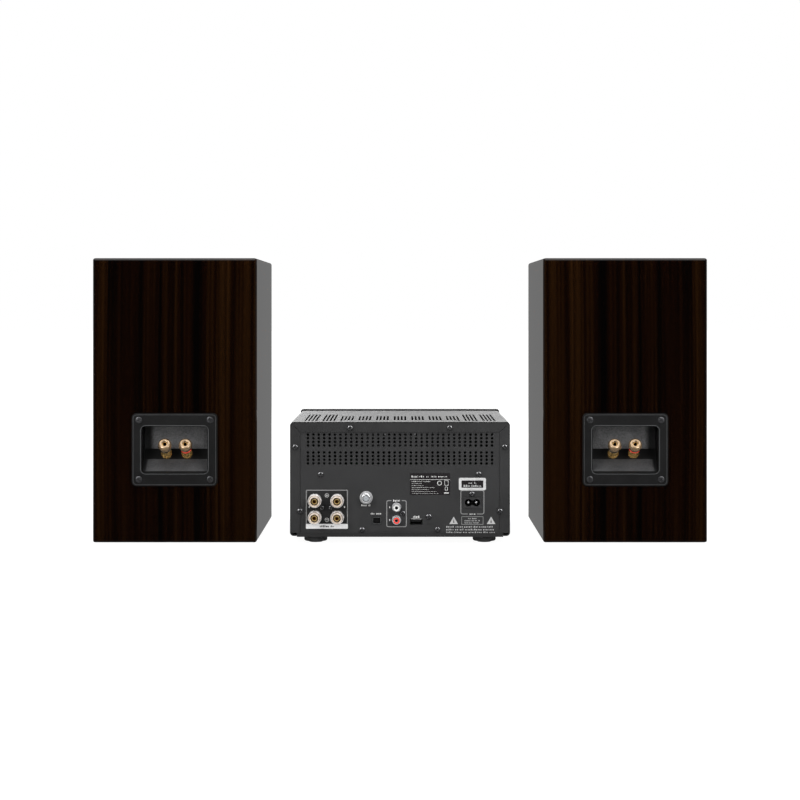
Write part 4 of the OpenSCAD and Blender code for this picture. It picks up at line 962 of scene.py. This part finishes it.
def make_speaker_caps():
    """Bronze caps of the speakers' posts: knurled skirt, waist groove, rounded nose and coloured ring."""
    def knurl(r, h, angle):
        return r - 0.20 * (0.5 + 0.5 * math.cos(angle * 34)) if 16.6 < h < 19.3 else r

    cap = [(3.15, 14.3), (4.5, 14.3), (4.55, 14.6), (4.6, 15.4), (5.2, 15.9), (6.15, 16.4), (6.6, 16.9),
           (6.85, 17.8), (6.95, 18.6), (7.1, 19.2), (6.95, 19.5), (6.9, 19.8), (7.25, 20.05), (7.45, 20.5),
           (7.48, 21.4), (7.48, 22.3), (7.3, 23.2), (6.95, 24.1), (6.45, 24.9), (5.95, 25.4), (5.4, 25.75),
           (4.4, 25.8), (3.3, 25.78), (3.0, 25.6), (2.5, 24.9), (2.45, 24.3), (3.12, 24.2)]
    band = [(3.2, 12.95), (5.3, 12.95)] + arc(5.42, 13.52, 0.56, -80, 80) + [(5.3, 14.15), (3.2, 14.15)]
    for side in SIDES:
        for color in ("red", "black"):
            node = f"{side}_post_cap_{color}"
            mount = f"{side}_post_{color}_banana"
            axis = Vector(mounts[mount]["axis"]).normalized()
            foot = mount_at(mount) - axis * 16 * MM
            piece = turned(f"{side}_cap_detail_{color}", cap, foot, "bronze_cap", "bronze_cap", 40, node,
                           axis=axis, steps=136, flute=knurl)
            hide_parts(node)
            turned(f"{side}_cap_ring_{color}", band, foot, f"{color}_ring", "bronze_cap", 60, node,
                   axis=axis, steps=72)


def make_sockets():
    """Insulators of the phono sockets, thread of the aerial socket, pins of the mains inlet."""
    insulator = [(1.75, 1.2), (1.75, 8.2), (2.05, 8.9), (2.3, 9.05), (3.1, 9.05), (3.4, 8.8), (3.5, 8.4), (3.5, 1.2)]
    sleeve = [(0.95, 0.5), (0.95, 6.0), (1.25, 6.6), (1.55, 6.6), (1.6, 6.0), (1.6, 0.5)]
    for name, mat_name in (("left", "white_plastic"), ("right", "red_ring")):
        at = mount_at(f"rca_{name}_centre")
        origin = (at.x, PANEL_FACE, at.z)
        turned(f"phono_insulator_{name}", insulator, origin, mat_name, "nickel", steps=48)
        # the contact sleeve is black as painted shade down the socket's centre hole
        turned(f"phono_contact_shade_{name}", sleeve, origin, "black_ring", "nickel", steps=32)
    at = mount_at("antenna_thread")
    origin = (at.x, PANEL_FACE, at.z)
    thread = [point for k in range(17) for point in ((4.62, 3.0 + k * 0.55), (4.86, 3.275 + k * 0.55))]
    thread = [(4.0, 2.8)] + thread + [(4.6, 12.42), (4.2, 12.55), (4.0, 12.4)]
    turned("aerial_thread", thread, origin, "nickel", "nickel", 20, steps=56)
    core = [(0.0, 11.4), (0.75, 11.4), (0.95, 11.9), (2.7, 11.9), (3.15, 11.5), (3.15, 4.5), (0.0, 4.5)]
    turned("aerial_insulator", core, origin, "aerial_grey", "nickel", steps=40, closed=False)
    x, z = flat(mount_at("optical_port"))
    bm = bmesh.new()
    outline(bm, x - 4.5, z - 3.6, x + 4.5, z + 3.6, 0.4, 1.2, high("optical_socket").y - 0.02 * MM)
    finish_mesh(bm, "optical_lip", "cup_edge")
    mains = mount_at("mains_inlet_c8")
    pin = [(0.0, -2.2), (0.7, -2.3), (1.15, -2.7), (1.28, -3.3), (1.28, -11.9), (0.0, -11.9)]
    for name, side in (("a", -1), ("b", 1)):
        turned(f"mains_pin_{name}", pin, (mains.x + side * 4.3 * MM, mains.y, mains.z), "nickel",
               "socket_plastic", 40, steps=28, closed=False)


def islands(node):
    """Bounds of every separate solid in a node."""
    mesh = nodes[node].data
    place = nodes[node].matrix_world
    points = [place @ v.co for v in mesh.vertices]
    keys = [tuple(round(c, 6) for c in p) for p in points]
    root = {key: key for key in keys}

    def find(key):
        while root[key] != key:
            root[key] = root[root[key]]
            key = root[key]
        return key

    for edge in mesh.edges:
        a, b = (find(keys[v]) for v in edge.vertices)
        root[a] = b
    groups = {}
    for key, point in zip(keys, points):
        groups.setdefault(find(key), []).append(point)
    return [[Vector(pick(p[i] for p in group) for i in range(3)) for pick in (min, max)]
            for group in groups.values()]


def cross_head(bm, at, radius, dome, turn):
    """A domed screw head with a cross recess, facing the rear."""
    rings, steps = 9, 48
    middle = bm.verts.new((at.x, at.y + dome - 0.75 * MM, at.z))
    last = None
    for k in range(1, rings + 1):
        r = radius * k / rings
        row = []
        for j in range(steps):
            angle = 2 * math.pi * j / steps
            arm = min(abs(r * math.cos(angle)), abs(r * math.sin(angle)))
            in_arm = max(0.0, min(1.0, (0.62 * MM - arm) / (0.30 * MM)))
            in_reach = max(0.0, min(1.0, (0.66 * radius - r) / (0.4 * MM)))
            y = at.y + dome * math.sqrt(max(0.0, 1 - (0.97 * k / rings) ** 2)) - 0.75 * MM * in_arm * in_reach
            row.append(bm.verts.new((at.x + r * math.cos(angle + turn), y, at.z + r * math.sin(angle + turn))))
        for j in range(steps):
            n = (j + 1) % steps
            bm.faces.new((last[j], row[j], row[n], last[n]) if last else (middle, row[j], row[n]))
        last = row


def make_screw_heads():
    """Cross-recessed heads on every screw that faces the rear."""
    rng = random.Random(23)
    for node, body, face, dome, mat_name in (
            ("case_screws", "receiver", PANEL_FACE, 0.5, "screw_head"),
            ("left_screws", "left_speaker", high("left_cabinet").y, 0.3, "cup_screw"),
            ("right_screws", "right_speaker", high("right_cabinet").y, 0.3, "cup_screw")):
        bm = bmesh.new()
        for lo, hi in islands(node):
            wide, tall, long = hi.x - lo.x, hi.z - lo.z, hi.y - lo.y
            if abs(wide - tall) > 0.3 * MM or hi.y < face - 0.5 * MM or long < wide:
                continue
            at = Vector(((lo.x + hi.x) / 2, hi.y, (lo.z + hi.z) / 2))
            cross_head(bm, at, wide / 2 * 0.97, dome * MM, rng.uniform(0, math.pi / 2))
        finish_mesh(bm, f"{node}_cross", mat_name, body, 24)


def make_cup_edges():
    """Thin light lines round each terminal cup's plate and its recess: painted highlights on their bevels."""
    for side in SIDES:
        lo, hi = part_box(f"{side}_terminal_cup")
        face = hi.y - 0.02 * MM
        (x0, z0), (x1, z1) = flat(lo), flat(hi)
        x, z = (x0 + x1) / 2, (z0 + z1) / 2
        bm = bmesh.new()
        # painted highlights where the plate's and the recess's bevels catch the light
        outline(bm, x0 + 1.6, z0 + 1.6, x1 - 1.6, z1 - 1.6, 0.28, 4.2, face, n=8)
        outline(bm, x - 37.4, z - 26.8, x + 37.4, z + 26.8, 0.42, 5.9, face, n=8)
        finish_mesh(bm, f"{side}_cup_bevel_highlights", "cup_edge", f"{side}_speaker")


# ---------------------------------------------------------------- front panel

def tri(x, w, h, way=1):
    return [(x, -h), (x + way * w, 0), (x, h)]


def bar(x, w, h):
    return [(x, -h), (x + w, -h), (x + w, h), (x, h)]


KEY_SYMBOLS = {
    "play_button": [tri(-3.4, 3.4, 2.0), bar(1.0, 0.8, 1.9), bar(2.6, 0.8, 1.9)],
    "previous_button": [tri(0.2, 3.0, 1.8, -1), tri(3.2, 3.0, 1.8, -1), bar(-3.6, 0.7, 1.8)],
    "next_button": [tri(-3.2, 3.0, 1.8), tri(-0.2, 3.0, 1.8), bar(2.9, 0.7, 1.8)],
    "eject_button": [[(-2.4, -0.6), (2.4, -0.6), (0, 2.0)], [(-2.4, -2.0), (2.4, -2.0), (2.4, -1.2), (-2.4, -1.2)]],
}


def make_front_print():
    """Plain symbols: triangles and bars on the keys, dots round the knob, a lamp."""
    x, z = flat(centre("volume_knob"))
    radius = (high("volume_knob").x - low("volume_knob").x) / 2 / MM + 6.2
    bm = bmesh.new()
    for k in range(11):
        angle = math.radians(-150 + 30 * k)
        dot = disc(x + radius * math.sin(angle), z + radius * math.cos(angle), 0.8 if k in (0, 10) else 0.5, 20)
        prism(bm, dot, PANEL_FRONT - INK)
    finish_mesh(bm, "volume_marks", "white_ink")

    for node, shapes in KEY_SYMBOLS.items():
        x, z = flat(centre(node))
        bm = bmesh.new()
        for shape in shapes:
            prism(bm, [(x + px, z + pz) for px, pz in shape], low(node).y - INK)
        finish_mesh(bm, f"{node}_symbol", "black_ink", node)

    power = centre("power_button")
    x, z = flat(power)
    face = low("power_button").y + 0.5 * MM - INK
    bm = bmesh.new()
    ring_prism(bm, arc(x, z, 2.7, 125, 415, 24), arc(x, z, 2.1, 125, 415, 24), face, open_at=24)
    prism(bm, rect(x - 0.3, z + 0.4, x + 0.3, z + 3.0), face)
    finish_mesh(bm, "power_button_symbol", "black_ink", "power_button")
    lens = [(0.0, 0.55), (0.5, 0.5), (0.9, 0.3), (1.1, 0.0), (0.0, 0.0)]
    turned("standby_lamp", lens, (power.x, PANEL_FRONT, power.z - 13 * MM), "red_ring", "front_black", 50,
           axis=FORWARD, steps=28, closed=False)
    jack = mount_at("headphone_jack")
    bezel = [(2.0, -0.4), (2.0, 0.2), (2.3, 0.45), (3.6, 0.45), (4.1, 0.2), (4.2, 0.0), (4.2, -0.02)]
    turned("headphone_bezel", bezel, (jack.x, PANEL_FRONT, jack.z), "nickel", "front_black",
           axis=FORWARD, steps=40)


# ---------------------------------------------------------------- drivers

def make_drivers():
    """Curved woofer cones with soft dust caps, and rolled surrounds round them."""
    for side in SIDES:
        cone_lo, cone_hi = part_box(f"{side}_woofer_cone")
        c = (cone_lo + cone_hi) / 2
        rim = (cone_hi.x - cone_lo.x) / 2 / MM
        at = (c.x, low(f"{side}_woofer_frame").y + 2.4 * MM, c.z)
        coil = 13.6
        steps = 22
        front = [(rim - 1.0 + (coil - rim + 1.0) * t, -1.6 - 32.0 * (0.62 * t + 0.38 * t * t))
                 for t in (k / steps for k in range(steps + 1))]
        back = [(r, h - 1.0) for r, h in front[::-1]]
        bm = bmesh.new()
        lathe(bm, [(rim, -2.3)] + front + back + [(rim, -2.6)], at, FORWARD, 128)
        cap = [(0.0, -17.6)] + [(27 * math.sin(a), -44.6 + 27 * math.cos(a))
                                for a in (math.radians(3 * k) for k in range(1, 17))]
        under = [(r * 0.985, h - 0.9) for r, h in cap[:0:-1]] + [(0.0, -18.5)]
        lathe(bm, cap + under, at, FORWARD, 96, closed=False)
        lathe(bm, [(coil, -33), (coil, -62), (coil - 0.5, -62), (coil - 0.5, -33)], at, FORWARD)
        piece = finish_mesh(bm, f"{side}_cone_detail", "cone", f"{side}_woofer_cone", 50)
        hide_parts(f"{side}_woofer_cone")

        lo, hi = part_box(f"{side}_woofer_surround")
        outer = (hi.x - lo.x) / 2 / MM
        inner = rim + 0.3
        middle, half = (outer + inner) / 2, (outer - inner) / 2 - 0.7
        top = [(outer, -1.2), (middle + half, -1.1)]
        top += [(middle + half * math.cos(a), -1.1 + half * 0.96 * math.sin(a))
                for a in (math.radians(12 * k) for k in range(1, 15))]
        top += [(middle - half, -1.1), (inner, -1.3)]
        under = [(middle + (r - middle) * 0.86, h - 0.7) for r, h in top[::-1]]
        piece = turned(f"{side}_surround_detail", top + under, at, "rubber", "rubber", 45, f"{side}_speaker",
                       axis=FORWARD, steps=128)
        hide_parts(f"{side}_woofer_surround")


make_camera()
make_world()
make_materials()
make_floor()
make_lights()
make_rear_print()
make_labels()
make_receiver_caps()
make_speaker_caps()
make_sockets()
make_screw_heads()
make_cup_edges()
make_front_print()
make_drivers()

bpy.context.scene.view_settings.view_transform = "Standard"
